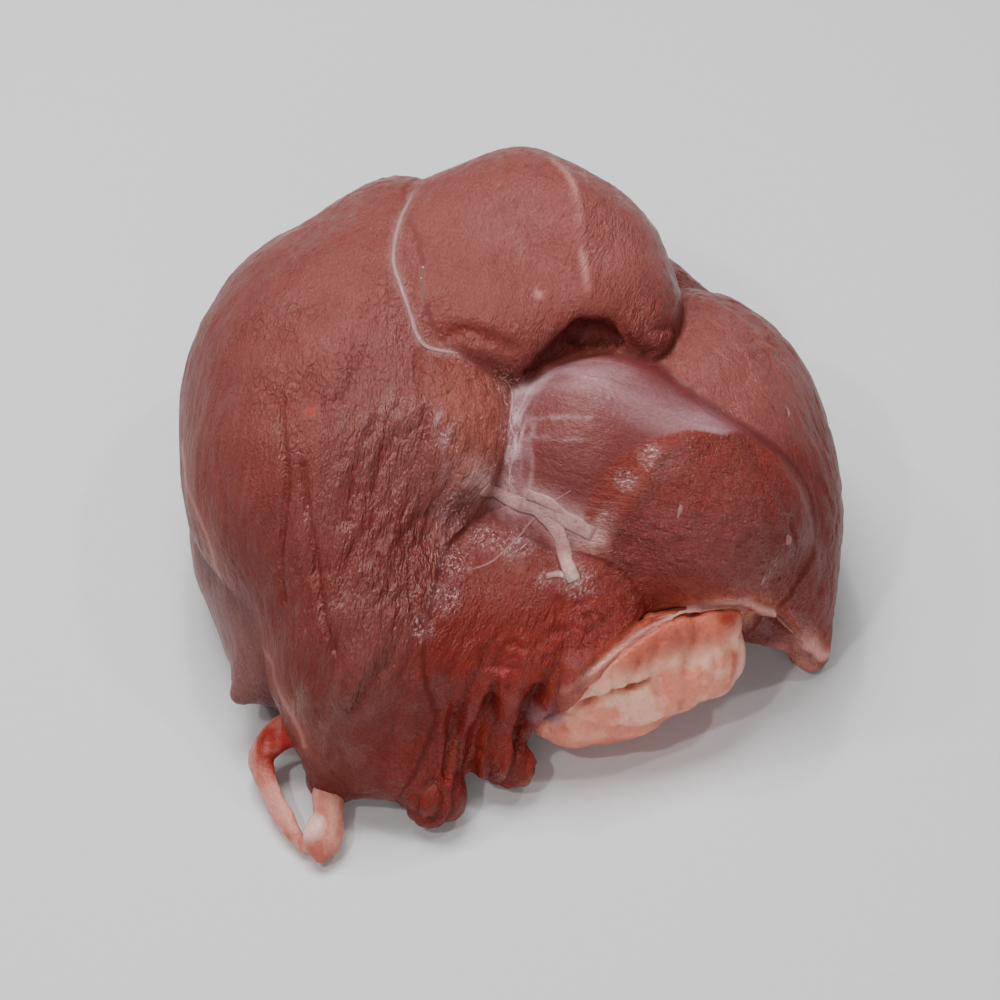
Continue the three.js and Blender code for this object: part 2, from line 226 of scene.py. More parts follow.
# Lamps: a place, the two sides of the panel and a power. The sparks make the glints of the wet surface
SPARK_SIZE = (0.06, 0.06)
LAMPS = {
    "overhead": ((-0.2, 0.3, 1.1), (0.6, 0.5), 11.5),
    "spark_0": ((-0.45, -0.45, 1.0), SPARK_SIZE, 2.6),
    "spark_1": ((-0.1, 0.55, 1.0), SPARK_SIZE, 1.8),
    "spark_2": ((0.45, 0.1, 1.0), SPARK_SIZE, 1.6),
    "spark_3": ((-0.65, 0.2, 0.9), SPARK_SIZE, 1.3),
    "front_fill": ((0.2, -1.1, 0.6), (1.0, 0.5), 4.0),
}
ROOM_COLOUR = (0.9, 0.93, 1.0, 1)
ROOM_LIGHT = 0.11
FLOOR_HALF = 3.0

# Features on the surface, in millimetres
CUT_EDGE = [
    (18, -46), (26, -40), (31, -33), (35, -25), (39, -20), (45, -14), (51, -6), (63, 1), (71, 3),
    (77, 6), (82, 3), (87, 0), (92, -5), (98, -14), (104, -19), (110, -28),
]
BEVEL_EDGE = [(24, -27), (25, -22), (28, -16), (33, -10), (41, -5), (50, -1), (58, 2)]
CREST = [(31, -33, 63), (35, -25, 69), (39, -20, 77), (45, -14, 84), (51, -6, 88), (63, 1, 90), (71, 3, 88),
         (77, 6, 84), (87, 0, 79), (95, -9, 69), (101, -15, 48)]
LONG_CREASES = [
    [(-68, 9, 96), (-67, -5, 92), (-66, -16, 87), (-67, -25, 78), (-68, -34, 69), (-67, -43, 61)],
    [(-61, -12, 90), (-60, -20, 85), (-58, -30, 77), (-56, -42, 69), (-54, -52, 64), (-51, -61, 59)],
    [(-8, 70, 110), (-5, 75, 111), (-2, 79, 113)],
]
SOFT_CREASES = [
    [(-56, 21, 101), (-59, 14, 99), (-60, 8, 97)],
    [(-72, 13, 95), (-66, 8, 97), (-61, 6, 97)],
    [(-53, 7, 97), (-48, 11, 97), (-46, 18, 99)],
]
BROAD_CREASES = [
    [(-39, 2, 93), (-43, -8, 89), (-46, -19, 85), (-47, -27, 80)],
    [(-36, -5, 89), (-39, -20, 81), (-46, -37, 73), (-49, -48, 67)],
    [(-25, 28, 99), (-25, 17, 97), (-23, 5, 94), (-24, -10, 86)],
]
FLAP_GAPS = [
    [(-14, -62, 41), (-15, -69, 29), (-16, -78, 20)],
    [(-3, -63, 36), (-7, -68, 26), (-10, -73, 12)],
    [(11, -61, 39), (8, -64, 30), (6, -66, 20)],
]
LIP = [(0, 25, 91), (2, 15, 86), (0, 5, 83), (-8, -5, 81), (-19, -12, 77), (-25, -23, 71)]
KNOT = (-59, 4, 96)
DENT_LINE = [(-19, 32, 102), (-11, 34, 103), (-3, 32, 101), (4, 30, 99)]
CAVE_LINE = [(10, 31, 93), (19, 35, 94), (26, 39, 95), (35, 40, 95)]
SILVER_ARC = [(8, 27, 90), (20, 24, 94), (32, 20, 97), (44, 12, 95), (56, 8, 92), (68, 4, 89)]
LIP_FILM = [(2, 25, 90), (4, 18, 87), (4, 10, 85), (3, 2, 82), (0, -5, 78), (-6, -8, 77)]
TENDON_FILM = [(-9, -7, 79), (0, -8, 71), (7, -13, 73), (14, -17, 73), (22, -21, 72), (29, -24, 70)]
RIM_KNOB = [(83, -33, 45), (86, -32, 41)]
SEAM_LINE = [(-29, 93, 109), (-31, 85, 110), (-33, 75, 110), (-34, 66, 110), (-34, 58, 109),
             (-32, 51, 108), (-30, 45, 107), (-28, 39, 105), (-26, 33, 102), (-23, 30, 100),
             (-19, 29, 99), (-13, 29, 97)]
RIDGE = [(17, 100, 115), (22, 91, 117), (25, 79, 119), (26, 71, 118), (26, 62, 115), (27, 57, 110),
         (28, 48, 106)]
SHEET_EDGE = [(-103, 20, 64), (-101, 9, 64), (-99, -1, 63), (-95, -10, 61), (-91, -17, 55), (-88, -20, 43),
              (-82, -32, 41), (-76, -42, 40), (-71, -53, 43), (-70, -57, 39), (-65, -67, 34), (-61, -73, 27)]
RIM_START = (25, 36)     # along X, where the fat begins to close up to the rim
FAT_LIFT = 2.6
WRINKLED = [((-34, -26, 72), (42, 66, 52)), ((-46, -60, 50), (22, 26, 26))]
ROUGH_SPOTS = [((4, -56, 46), (26, 13, 17)), ((24, -46, 52), (18, 14, 12))]
FAT_FOLD = [(16, -62, 32), (25, -61, 31), (35, -58, 34), (42, -56, 34), (47, -54, 35)]
FAT_CREASES = [
    [(50, -46, 45), (47, -51, 40), (48, -54, 35), (50, -56, 28)],
    [(44, -51, 42), (41, -54, 38), (42, -56, 34)],
    [(63, -41, 45), (60, -46, 41), (59, -51, 35)],
    [(30, -63, 22), (40, -62, 20), (52, -58, 19)],
]
FAT_STAINS = [
    ((64, -42, 45), 4), ((71, -39, 44), 6), ((75, -41, 36), 8), ((70, -48, 29), 8), ((60, -54, 22), 8),
    ((38, -60, 22), 6), ((22, -61, 24), 5),
]
# Wet spots: shinier, and given painted glints
WET_SPOTS = [
    ((47, -7, 89), 6), ((39, -13, 84), 5), ((33, -22, 77), 5), ((3, 22, 87), 7), ((3, 8, 84), 6),
    ((-15, -14, 71), 9), ((-5, -19, 66), 8), ((5, -22, 65), 8), ((-15, -29, 65), 9), ((-24, -53, 60), 6),
    ((-17, -1, 89), 5), ((-18, -43, 62), 8), ((24, -35, 61), 8), ((14, -34, 63), 5),
]
FILM_LINES = [
    [(11, 6, 88), (10, 0, 85), (10, -7, 81), (9, -11, 76)],
    [(4, 11, 84), (16, 7, 91), (28, 5, 93)],
    [(5, 4, 83), (14, 1, 88), (25, -2, 90)],
    [(56, 60, 97), (54, 49, 100), (51, 40, 99), (49, 35, 95), (52, 33, 90)],
]
# Patches of the surface: the centre and the half axes of an ellipsoid
HOLLOW_WALL = ((-10, 10, 88), (20, 30, 18))
CRACKLED = ((-52, 24, 92), (52, 76, 44))
LEFT_SIDE = ((-82, -18, 66), (24, 50, 46))
BROWN_LEFT = ((-38, 6, 92), (26, 40, 26))
DARK_BY_LIP = ((-30, -36, 68), (25, 29, 25))
DARK_CORNER = ((-62, -48, 62), (28, 30, 30))
TORN_EDGE = ((44, 42, 93), (18, 18, 16))
ROLLED_EDGE = ((0, 34, 96), (26, 10, 12))
PALE_TOP = ((46, 66, 108), (20, 26, 16))
DARK_TOP = ((45, 47, 102), (20, 18, 18))
PALE_MARK = ((13, 47, 107), (3, 4, 5))
PALE_RIGHT = ((76, 30, 84), (42, 44, 34))
CREASED_RIGHT = ((82, 42, 80), (16, 22, 16))
FILM_CORNER = ((9, 23, 90), (11, 8, 8))
PALE_CREST = ((49, -6, 90), (14, 12, 14))
BRIGHT_FRONT = ((44, -42, 52), (44, 18, 16))
BELOW_RIM_END = ((96, -27, 10), (18, 9, 15))
RIM_END = ((101, -26, 14), (14, 8, 14))
PURPLE_MARK = ((13, -62, 28), (7, 7, 6))
FAT_PURPLE_MARK = ((14, -62, 27), (9, 9, 6))
TENDON_START = ((-1, -9, 73), (16, 9, 9))
TENDON_END = ((23, -34, 64), (8, 12, 10))
# Bands of the tendon: a line, half the width and half the thickness
TENDON_RIBBONS = [
    ([(-4, -8, 74), (-1, -9, 72), (3, -11, 72), (7, -14, 73), (14, -17, 73), (22, -20, 72), (29, -23, 70)],
     2.7, 0.35),
    ([(6, -13, 73), (12, -17, 73), (17, -21, 70), (19, -25, 67), (21, -31, 65), (23, -36, 63)], 2.6, 0.4),
    ([(9, -11, 75), (15, -14, 75), (20, -17, 73), (24, -20, 72)], 1.8, 0.3),
    ([(14, -35, 66), (18, -34, 65), (23, -35, 63)], 1.2, 0.3),
]
RIBBON_SIDES = 8
# Thin threads that lie on the meat: a line, a radius, and how far the thread hides what is below it
THREAD_FLATNESS = 2.2
THREADS = {
    "seam_fascia": (SEAM_LINE, 0.35, 0.5),
    "net_thread_1": (
        [(0, 25, 91), (3, 24, 88), (4, 20, 85), (3, 11, 84), (5, 3, 82), (3, -3, 77), (3, -8, 73)],
        0.25, 0.4),
    "tight_thread": (
        [(-9, -32, 67), (-3, -29, 67), (2, -24, 68), (7, -20, 69), (14, -16, 74), (22, -14, 80)],
        0.175, 0.4),
    "speck_1": ([(56, -20, 80), (56, -21, 79), (55, -23, 77)], 0.45, 0.4),
    "speck_2": ([(89, -21, 67), (90, -22, 66), (89, -23, 65)], 0.55, 0.4),
    "speck_3": ([(83, -31, 59), (83, -32, 57), (82, -33, 55)], 0.25, 0.4),
    "speck_4": ([(92, 22, 81), (93, 20, 80), (93, 18, 80)], 0.25, 0.4),
}
ROUTE_STEPS = 5          # steps from one point of a thread or strip to the next
FEATURE_STEPS = 4        # and from one point of a feature line to the next


# Distances: negative inside a tissue

def lobe_distance(points, item):
    centre, half, axes = item
    local = (points - centre) @ axes
    near = np.sqrt(((local / half) ** 2).sum(-1))
    slope = np.sqrt(((local / half ** 2) ** 2).sum(-1)) + 1e-9
    return near * (near - 1) / slope


def strand_distance(points, item, flat=None):
    """Distance to a tapering strand, which may be pressed flat along the direction flat."""
    line, radii = item
    best = None
    for start, end, first, last in zip(line[:-1], line[1:], radii[:-1], radii[1:]):
        along = end - start
        t = np.clip((points - start) @ along / (along @ along), 0, 1)
        away = points - start - t[..., None] * along
        if flat is not None:
            away = away + (away @ flat)[..., None] * flat * (STRIP_THINNESS - 1)
        d = np.linalg.norm(away, axis=-1) - first - (last - first) * t
        best = d if best is None else np.minimum(best, d)
    return best


def line_distance(points, line):
    return strand_distance(points, strand(line, [0.0] * len(line)))


def melt_min(a, b, width):
    """The smaller of two distances, rounded where they meet."""
    h = np.clip(0.5 + 0.5 * (b - a) / width, 0, 1)
    return b + (a - b) * h - width * h * (1 - h)


def melt_max(a, b, width):
    return -melt_min(-a, -b, width)


def tissue_distance(points, form):
    best = None
    for measure, items in ((lobe_distance, form["lobes"]), (strand_distance, form["strands"])):
        for item in items:
            d = measure(points, item)
            best = d if best is None else melt_min(best, d, form["melt"])
    return best


def muscle_distances(points):
    return np.stack([tissue_distance(points, muscle) for muscle in MUSCLES.values()], -1)


def meat_distance(points):
    best = None
    for muscle in MUSCLES.values():
        d = tissue_distance(points, muscle)
        if best is None:
            best, nearest, second = d, d, np.full_like(d, 1e3)
            continue
        best = melt_min(best, d, muscle["seam"])
        second = np.minimum(second, np.maximum(nearest, d))
        nearest = np.minimum(nearest, d)
    best = best + GROOVE_DEPTH * bell(second - nearest, GROOVE_WIDTH)
    for cave in CAVES:
        best = melt_max(best, -strand_distance(points, cave), CAVE_ROUND)
    return melt_max(best, -points[..., 2], BASE_ROUND)


def fat_distance(points):
    return melt_max(tissue_distance(points, FAT), -points[..., 2], BASE_ROUND)


# Smooth lines through given points

def smooth_line(points, steps):
    """A curve through the points, with that many steps from one to the next."""
    points = np.array(points, float)
    padded = np.vstack([2 * points[0] - points[1], points, 2 * points[-1] - points[-2]])
    curve = []
    for i in range(len(points) - 1):
        a, b, c, d = padded[i:i + 4]
        for t in np.arange(steps) / steps:
            curve.append(0.5 * (2 * b + (c - a) * t + (2 * a - 5 * b + 4 * c - d) * t ** 2
                                + (3 * b - a - 3 * c + d) * t ** 3))
    curve.append(points[-1])
    return np.array(curve)


def slope_of(field, points):
    parts = []
    for axis in range(3):
        offset = np.zeros(3, np.float32)
        offset[axis] = SLOPE_STEP
        parts.append((field(points + offset) - field(points - offset)) / (2 * SLOPE_STEP))
    return np.stack(parts, -1)


def settle(field, points, turns, limit=0.0):
    """Moves the points onto the surface of a field, by no more than limit along each axis."""
    points = np.array(points, np.float32)
    start = points.copy()
    for _ in range(turns):
        slope = slope_of(field, points)
        steep = np.maximum((slope ** 2).sum(-1), 0.3)
        points = points - (field(points) / steep)[:, None] * slope
        if limit:
            points = np.clip(points, start - limit, start + limit)
    return points.astype(np.float32)


def normals_of(field, points):
    slope = slope_of(field, points)
    return slope / (np.linalg.norm(slope, axis=-1, keepdims=True) + 1e-9)


# Surface of a field: one vertex in each cell that it crosses

CORNERS = np.array([[i & 1, (i >> 1) & 1, i >> 2] for i in range(8)])
CELL_EDGES = [(a, a | bit) for a in range(8) for bit in (1, 2, 4) if not a & bit]


def is_split(code, wanted):
    """Whether the corners inside a cell, or those outside, fall into separate groups."""
    left = {i for i in range(8) if bool(code >> i & 1) == wanted}
    if len(left) < 2:
        return False
    reached = [left.pop()]
    while reached:
        here = reached.pop()
        for bit in (1, 2, 4):
            if here ^ bit in left:
                left.remove(here ^ bit)
                reached.append(here ^ bit)
    return bool(left)


SPLIT_CODES = np.array([is_split(code, True) or is_split(code, False) for code in range(256)])


def measure_grid(field, low, high, cell):
    """The field on a grid: exact near the surface, and rough far from it."""
    count = (np.ceil((np.array(high) - low) / cell).astype(int) // COARSE_STEP + 1) * COARSE_STEP + 1
    axes = [low[i] + cell * np.arange(count[i]) for i in range(3)]
    coarse_axes = [axis[::COARSE_STEP] for axis in axes]
    coarse = field(np.stack(np.meshgrid(*coarse_axes, indexing="ij"), -1).astype(np.float32))
    values = coarse
    for axis in range(3):
        values = np.repeat(values, COARSE_STEP, axis=axis)
    shift = COARSE_STEP // 2
    values = values[shift:shift + count[0], shift:shift + count[1], shift:shift + count[2]].copy()
    near = np.nonzero(np.abs(values) < COARSE_REACH * COARSE_STEP * cell)
    exact = np.stack([axes[i][near[i]] for i in range(3)], -1).astype(np.float32)
    values[near] = field(exact)
    return values


def corner_values(values, cells):
    return np.stack([values[tuple((cells + corner).T)] for corner in CORNERS], -1)


def fill_split_cells(values, cell):
    """Fills cells that the surface would cross twice, so that the mesh stays one clean skin."""
    while True:
        inside = values < 0
        size = np.array(values.shape) - 1
        code = np.zeros(size, np.int32)
        for bit, (x, y, z) in enumerate(CORNERS):
            code |= inside[x:x + size[0], y:y + size[1], z:z + size[2]].astype(np.int32) << bit
        cells = np.argwhere(SPLIT_CODES[code])
        if not len(cells):
            return np.argwhere((code > 0) & (code < 255))
        corner = corner_values(values, cells)
        nearest = np.where(corner < 0, np.inf, corner).argmin(-1)
        values[tuple((cells + CORNERS[nearest]).T)] = -FILL_DEPTH * cell


def draw_surface(field, low, high, cell):
    """Vertices and four-sided faces of the field's surface."""
    low = np.array(low, float)
    values = measure_grid(field, low, high, cell)
    cells = fill_split_cells(values, cell)
    points = low + (cells + middle_of_crossings(values, cells)) * cell
    points = settle(field, points, turns=3, limit=SETTLE_REACH * cell)
    return points, join_faces(values, cells)


def middle_of_crossings(values, cells):
    """Where each vertex lies in its cell: amid the places where the surface crosses the edges."""
    corner = corner_values(values, cells)
    total = np.zeros((len(cells), 3))
    crossings = np.zeros(len(cells))
    for a, b in CELL_EDGES:
        crossed = (corner[:, a] < 0) != (corner[:, b] < 0)
        t = np.where(crossed, corner[:, a] / np.where(crossed, corner[:, a] - corner[:, b], 1), 0)
        place = CORNERS[a] + (CORNERS[b] - CORNERS[a]) * t[:, None]
        total += np.where(crossed[:, None], place, 0)
        crossings += crossed
    return total / crossings[:, None]


def join_faces(values, cells):
    """A face of four vertices round each edge of the grid that the surface crosses."""
    vertex = np.full(values.shape, -1, np.int32)
    vertex[tuple(cells.T)] = np.arange(len(cells))
    inside = values < 0
    faces = []
    unit = np.eye(3, dtype=int)
    for axis in range(3):
        here = inside[tuple(slice(0, -1) if i == axis else slice(None) for i in range(3))]
        ahead = inside[tuple(slice(1, None) if i == axis else slice(None) for i in range(3))]
        edges = np.argwhere(here != ahead)
        leaving = here[tuple(edges.T)]
        u, v = unit[(axis + 1) % 3], unit[(axis + 2) % 3]
        ring = [edges - u - v, edges - v, edges, edges - u]
        quads = np.stack([vertex[tuple(r.T)] for r in ring], -1)
        quads[~leaving] = quads[~leaving][:, ::-1]
        faces.append(quads)
    return np.vstack(faces)


# Noise: smooth values near -1 to 1 from a grid of random numbers

def hash_grid(cells, seed):
    x, y, z = (cells[..., i].astype(np.uint32) for i in range(3))
    mixed = x * np.uint32(374761393) + y * np.uint32(668265263) + z * np.uint32(2147483647)
    mixed = mixed + np.uint32(seed * 1274126177 % 2 ** 32)
    mixed = (mixed ^ (mixed >> np.uint32(13))) * np.uint32(1103515245)
    mixed = (mixed ^ (mixed >> np.uint32(16))) * np.uint32(2246822519)
    mixed = mixed ^ (mixed >> np.uint32(15))
    return mixed.astype(np.float64) / 2 ** 31 - 1


def noise(points, size, seed):
    """Noise with waves about size long; size is one length or three."""
    scaled = np.asarray(points, float) / np.asarray(size, float)
    cell = np.floor(scaled).astype(np.int64)
    t = scaled - cell
    t = t * t * t * (t * (t * 6 - 15) + 10)
    total = np.zeros(len(scaled))
    for corner in CORNERS:
        weight = np.prod(np.where(corner, t, 1 - t), axis=-1)
        total += weight * hash_grid((cell + corner) & 0xFFFFFF, seed)
    return total


def smoothstep(low, high, value):
    t = np.clip((value - low) / (high - low), 0, 1)
    return t * t * (3 - 2 * t)


def bell(away, width):
    """1 where away is 0, falling smoothly towards 0."""
    return np.exp(-(away / width) ** 2)


def spot(points, centre, half):
    """1 at the centre of an ellipsoid, falling smoothly to 0 at its surface."""
    away = np.linalg.norm((points - np.array(centre)) / half, axis=-1)
    return smoothstep(1, 0.35, away)


# Which way the fibres of each muscle run

FIBRES = {
    "left": (-0.12, -0.80, -0.55), "under": (0.35, -0.85, -0.4), "back": (0.9, 0.2, -0.3),
    "top": (-0.4, -0.75, -0.5), "right": (0.5, -0.65, -0.55), "centre": (0.96, -0.25, -0.08),
    "rim": (0.9, 0.3, 0.1), "low": (-0.5, -0.65, -0.55),
}
FIBRE_STRETCH = 6.0
# Which muscle's edge lies over its neighbour, and how high
LAYERS = [
    ("left", "under", 1.3), ("left", "centre", 0.5), ("left", "low", 0.3),
    ("top", "centre", 0.9), ("top", "right", 0.7), ("right", "centre", 0.3),
]
WRINKLE_WAY = (-0.5, -0.62, -0.6)
NET_WAY = (0.1, -0.8, -0.5)
FLAP_WAY = (-0.2, -0.6, -0.75)
# Folds and ropes: the direction that they run in, their width and length, and a seed
BIG_WRINKLES = (WRINKLE_WAY, 7, 42, 31)
SMALL_WRINKLES = (WRINKLE_WAY, 3.2, 20, 41)
THICK_ROPES = (FLAP_WAY, 9, 60, 71)
THIN_ROPES = (FLAP_WAY, 3, 30, 76)
WALL_FOLDS = ((0.35, -0.55, -0.7), 3.2, 15, 51)
SIDE_FOLDS = ((0.1, -0.72, -0.68), 5.5, 60, 55)
CUT_STREAKS = ((0.45, -0.5, -0.72), 4.5, 40, 65)
TORN_FOLDS = ((0.2, -0.6, -0.7), 4.5, 16, 91)
ROLL_FOLDS = ((0.9, -0.3, -0.2), 5, 14, 96)
RIGHT_STREAKS = ((0.5, -0.6, -0.6), 6, 60, 94)
RIGHT_CREASES = ((0.4, 0.6, -0.5), 3.5, 14, 95)
SMALL_FAT_FOLDS = ((0.3, -0.6, -0.7), 4.5, 14, 115)
LONG_FAT_FOLDS = ((0.85, 0.45, 0.1), 6, 40, 116)


def fibre_axes(direction):
    along = np.array(direction, float)
    along /= np.linalg.norm(along)
    side = np.cross(along, (0.1, 0.2, 1.0))
    side /= np.linalg.norm(side)
    return np.stack([side, np.cross(along, side), along], -1)


def stirred(points, amount, size, seed):
    """The points pushed about by smooth noise, so that what is drawn on them bends."""
    return points + amount * np.stack([noise(points, size, seed + k) for k in range(3)], -1)


def fibre_places(points, region):
    """Coordinates in which the fibres run along the third axis, drawn together along them."""
    bent = stirred(points, 5, 45, 11)
    places = np.zeros_like(bent)
    for i, name in enumerate(MUSCLE_NAMES):
        mine = region == i
        places[mine] = bent[mine] @ fibre_axes(FIBRES[name])
    places[:, 2] /= FIBRE_STRETCH
    return places


def folds(points, direction, width, length, seed):
    """Rounded ropes side by side: 1 along a rope, 0 in the sharp valley between two."""
    local = stirred(points, 0.35 * width, 2.2 * width, seed) @ fibre_axes(direction)
    return np.clip(1.6 * np.abs(noise(local, (width, width, length), seed + 5)), 0, 1) ** 0.6


def near_line(points, line, width):
    """1 on a smooth line, falling to 0 away from it."""
    return bell(line_distance(points, smooth_line(line, FEATURE_STEPS)), width)


def near_lines(points, lines, width):
    return np.max([near_line(points, line, width) for line in lines], axis=0)


def spots(points, places):
    return np.clip(sum(spot(points, centre, half) for centre, half in places), 0, 1)


class Skin:
    """Points of the meat's surface, with the muscle that each lies in and masks for its features."""

    def __init__(self, points):
        self.points = points
        self.normals = normals_of(meat_distance, points)
        self.distances = muscle_distances(points)
        order = np.argsort(self.distances, -1)
        self.region, self.neighbour = order[:, 0], order[:, 1]
        nearest = np.take_along_axis(self.distances, order, -1)
        self.seam = nearest[:, 1] - nearest[:, 0]
        self.part = {name: self.share(i) for i, name in enumerate(MUSCLE_NAMES)}
        self.fibre = fibre_places(points, self.region)
        self.mottle = noise(points, 14, 101) + 0.6 * noise(points, 6, 102)
        self.streak = noise(self.fibre, 2.2, 103) + 0.7 * noise(self.fibre, 1.2, 104)
        self.masks = tissue_masks(self)
        self.wrinkles = wrinkle_folds(points)
        self.ropes = flap_folds(points)

    def share(self, i):
        """1 on muscle i and 0 on the others, changing smoothly across its seams."""
        others = np.delete(self.distances, i, -1).min(-1)
        return smoothstep(-1.2, 1.2, others - self.distances[:, i])

    def layer(self, upper, lower, height):
        """One muscle's edge laid over its neighbour: raised on its own side and sunk beyond it."""
        u, v = MUSCLE_NAMES.index(upper), MUSCLE_NAMES.index(lower)
        above = (self.region == u) & (self.neighbour == v)
        beyond = (self.region == v) & (self.neighbour == u)
        lead = self.distances[:, v] - self.distances[:, u]
        return np.where(above | beyond, height * np.tanh(lead / 0.7) * bell(lead, 4.5), 0)


def below_edge(points, line):
    """How far a point lies in front of an edge that is drawn from the left to the right."""
    return np.interp(points[:, 0], *np.array(line, float).T) - points[:, 1]


def over_rim(points):
    """How far a point lies above the rim, up and to the back."""
    tilt = math.radians(CAMERA_ELEVATION)
    up = np.array((0, math.sin(tilt), math.cos(tilt)))
    line = np.array(RIM, float)
    return points @ up - np.interp(points[:, 0], line[:, 0], line @ up)


def rim_begun(points):
    """0 to the left of where the fat closes up to the rim, 1 to the right of it."""
    return smoothstep(*RIM_START, points[:, 0])


def face_masks(skin):
    """The cut face, and the bevel to the left of it."""
    points, part = skin.points, skin.part
    x, z = points[:, 0], points[:, 2]
    ragged = 1.2 * noise(points, 7, 3) + 0.7 * noise(points, 2.5, 4)
    spread = np.interp(x, (72, 88), (1, 6))
    face = smoothstep(-0.4, 1.8, (below_edge(points, CUT_EDGE) + ragged) / spread)
    face = face * smoothstep(19, 26, x + 2 * ragged) * smoothstep(3, 10, z)
    cut = face * np.clip(part["centre"] + part["right"] + part["low"], 0, 1)
    held = (part["centre"] + part["low"]) * (1 - cut)
    bevel = held * smoothstep(-0.6, 0.8, below_edge(points, BEVEL_EDGE))
    return cut, bevel * smoothstep(22, 25, x + 0.3 * ragged)


def sheen_mask(skin, covered):
    """The silverskin on the smooth muscle with its painted sheen, in streaks along its fibres."""
    wisps = 0.6 * noise(skin.fibre, 4, 21) + 0.5 * noise(skin.fibre, 2, 22)
    arc = 0.9 * near_line(skin.points, SILVER_ARC, 8)
    net = 0.8 * near_line(skin.points, LIP_FILM, 6) + 0.5 * near_line(skin.points, TENDON_FILM, 6)
    return np.clip(covered, 0, 1) * np.clip((arc + net) * (1 + 0.5 * wisps), 0, 1)


def tissue_masks(skin):
    """How much of each feature a point has, from 0 to 1."""
    points, part = skin.points, skin.part
    x, y, z = points.T
    cut, bevel = face_masks(skin)
    smooth = part["centre"] * (1 - cut) * (1 - 0.9 * bevel)
    lower = part["low"] * (1 - cut)
    left, low = (skin.distances[:, MUSCLE_NAMES.index(name)] for name in ("left", "low"))
    red = smoothstep(-7, 5, left - low) * (1 - cut) * np.clip(part["left"] + part["low"], 0, 1)
    rough = spots(points, ROUGH_SPOTS)
    from_knot = np.linalg.norm(points - KNOT, axis=-1)
    return dict(
        cut=cut, bevel=bevel, silver_and_sheen=sheen_mask(skin, smooth + lower), film=smooth, lower=lower, red=red,
        rough=rough * np.clip(lower + cut, 0, 1) * (1 - part["rim"]),
        wrinkle=part["left"] * np.clip(1.15 * spots(stirred(points, 8, 22, 23), WRINKLED), 0, 1),
        side=smoothstep(0.3, 0.8, np.abs(skin.normals[:, 0])) * smoothstep(60, 85, np.abs(x)),
        wall=part["left"] * spot(points, *HOLLOW_WALL),
        crackle=np.clip(part["left"] * spot(points, *CRACKLED) * 1.5, 0, 1),
        sheet=part["left"] * near_line(points, SHEET_EDGE, 7),
        flap=np.clip(part["left"] + part["low"], 0, 1) * smoothstep(56, 36, z) * smoothstep(-44, -56, y),
        wet=np.clip(spots(points, WET_SPOTS) + 0.8 * near_line(points, LIP_FILM, 5), 0, 1),
        knot=bell(from_knot, 2.2), blood=bell(from_knot, 1.2),
        dent=part["top"] * near_line(points, DENT_LINE, 2.6),
        crease=np.maximum(near_lines(points, LONG_CREASES, 0.8),
                          0.6 * near_lines(points, BROAD_CREASES, 1.6)),
        under_rim=spot(points, *BELOW_RIM_END) * smoothstep(26, 14, z + 0.3 * (x - 96)),
    )


# Relief: how far the surface stands out of its smooth form

def wrinkle_folds(points):
    """Dense wrinkles that run down to the left: 1 on a fold, 0 between two."""
    big = folds(points, *BIG_WRINKLES)
    small = folds(points, *SMALL_WRINKLES)
    return 0.65 * big + 0.35 * small


def flap_folds(points):
    """Ropes that hang down to the flaps: 1 on a rope, 0 between two."""
    rope = folds(points, *THICK_ROPES)
    thin = folds(points, *THIN_ROPES)
    return 0.7 * rope + 0.3 * thin


def left_relief(skin):
    points, masks = skin.points, skin.masks
    wall = folds(points, *WALL_FOLDS)
    out = masks["wrinkle"] * 2.0 * (skin.wrinkles - 0.62)
    out -= 1.1 * near_lines(points, SOFT_CREASES, 2.2)
    out += masks["wall"] * 0.8 * (wall - 0.7)
    side = spot(points, *LEFT_SIDE)
    out += side * 0.35 * (folds(points, *SIDE_FOLDS) - 0.7)
    out -= 1.5 * near_lines(points, LONG_CREASES, 1.0) + 1.1 * near_lines(points, BROAD_CREASES, 2.2)
    out += 0.5 * masks["knot"] - 0.7 * masks["blood"]
    return out * np.clip(skin.part["left"] + skin.part["low"], 0, 1)


def cut_relief(skin):
    points, masks = skin.points, skin.masks
    grain = 0.15 * noise(points, 6, 61) + 0.2 * noise(points, 3.2, 62) + 0.4 * noise(points, 2.0, 63)
    streaks = folds(points, *CUT_STREAKS)
    right = smoothstep(70, 92, points[:, 0])
    face = masks["cut"] * ((grain - 0.2) * (1 - 0.6 * right) + right * 0.9 * (streaks - 0.6))
    crest = near_line(points, CREST, 3.5) * np.clip(skin.part["centre"] + skin.part["right"], 0, 1)
    rim = skin.part["rim"] * (2.2 * near_line(points, RIM_KNOB, 4) + 0.5 * noise(points, 5, 66) - 1.2)
    return face + 1.0 * crest + rim


def low_relief(skin):
    points, masks = skin.points, skin.masks
    grit = 0.7 * noise(points, 4, 81) + 0.5 * noise(points, 2.3, 82)
    out = masks["flap"] * (1.2 + 2.4 * smoothstep(-40, -22, points[:, 0])) * (skin.ropes - 0.62)
    out -= 4.5 * near_lines(points, FLAP_GAPS, 2.4) * masks["flap"]
    return out + masks["rough"] * (1.2 * grit - 0.4)


def top_relief(skin):
    points = skin.points
    out = 2.0 * np.exp(-line_distance(points, smooth_line(RIDGE, FEATURE_STEPS)) / 6) - 0.6
    torn = spot(points, *TORN_EDGE)
    roll = spot(points, *ROLLED_EDGE)
    wrinkle = folds(points, *TORN_FOLDS)
    out += torn * (2.0 * wrinkle - 1.1) + roll * 0.9 * (folds(points, *ROLL_FOLDS) - 0.4)
    return skin.part["top"] * out


def right_relief(skin):
    points = skin.points
    streaks = folds(points, *RIGHT_STREAKS) - 0.6
    creases = spot(points, *CREASED_RIGHT) * (folds(points, *RIGHT_CREASES) - 0.6)
    return skin.part["right"] * (1 - skin.masks["cut"]) * (0.6 * streaks + 0.9 * creases)


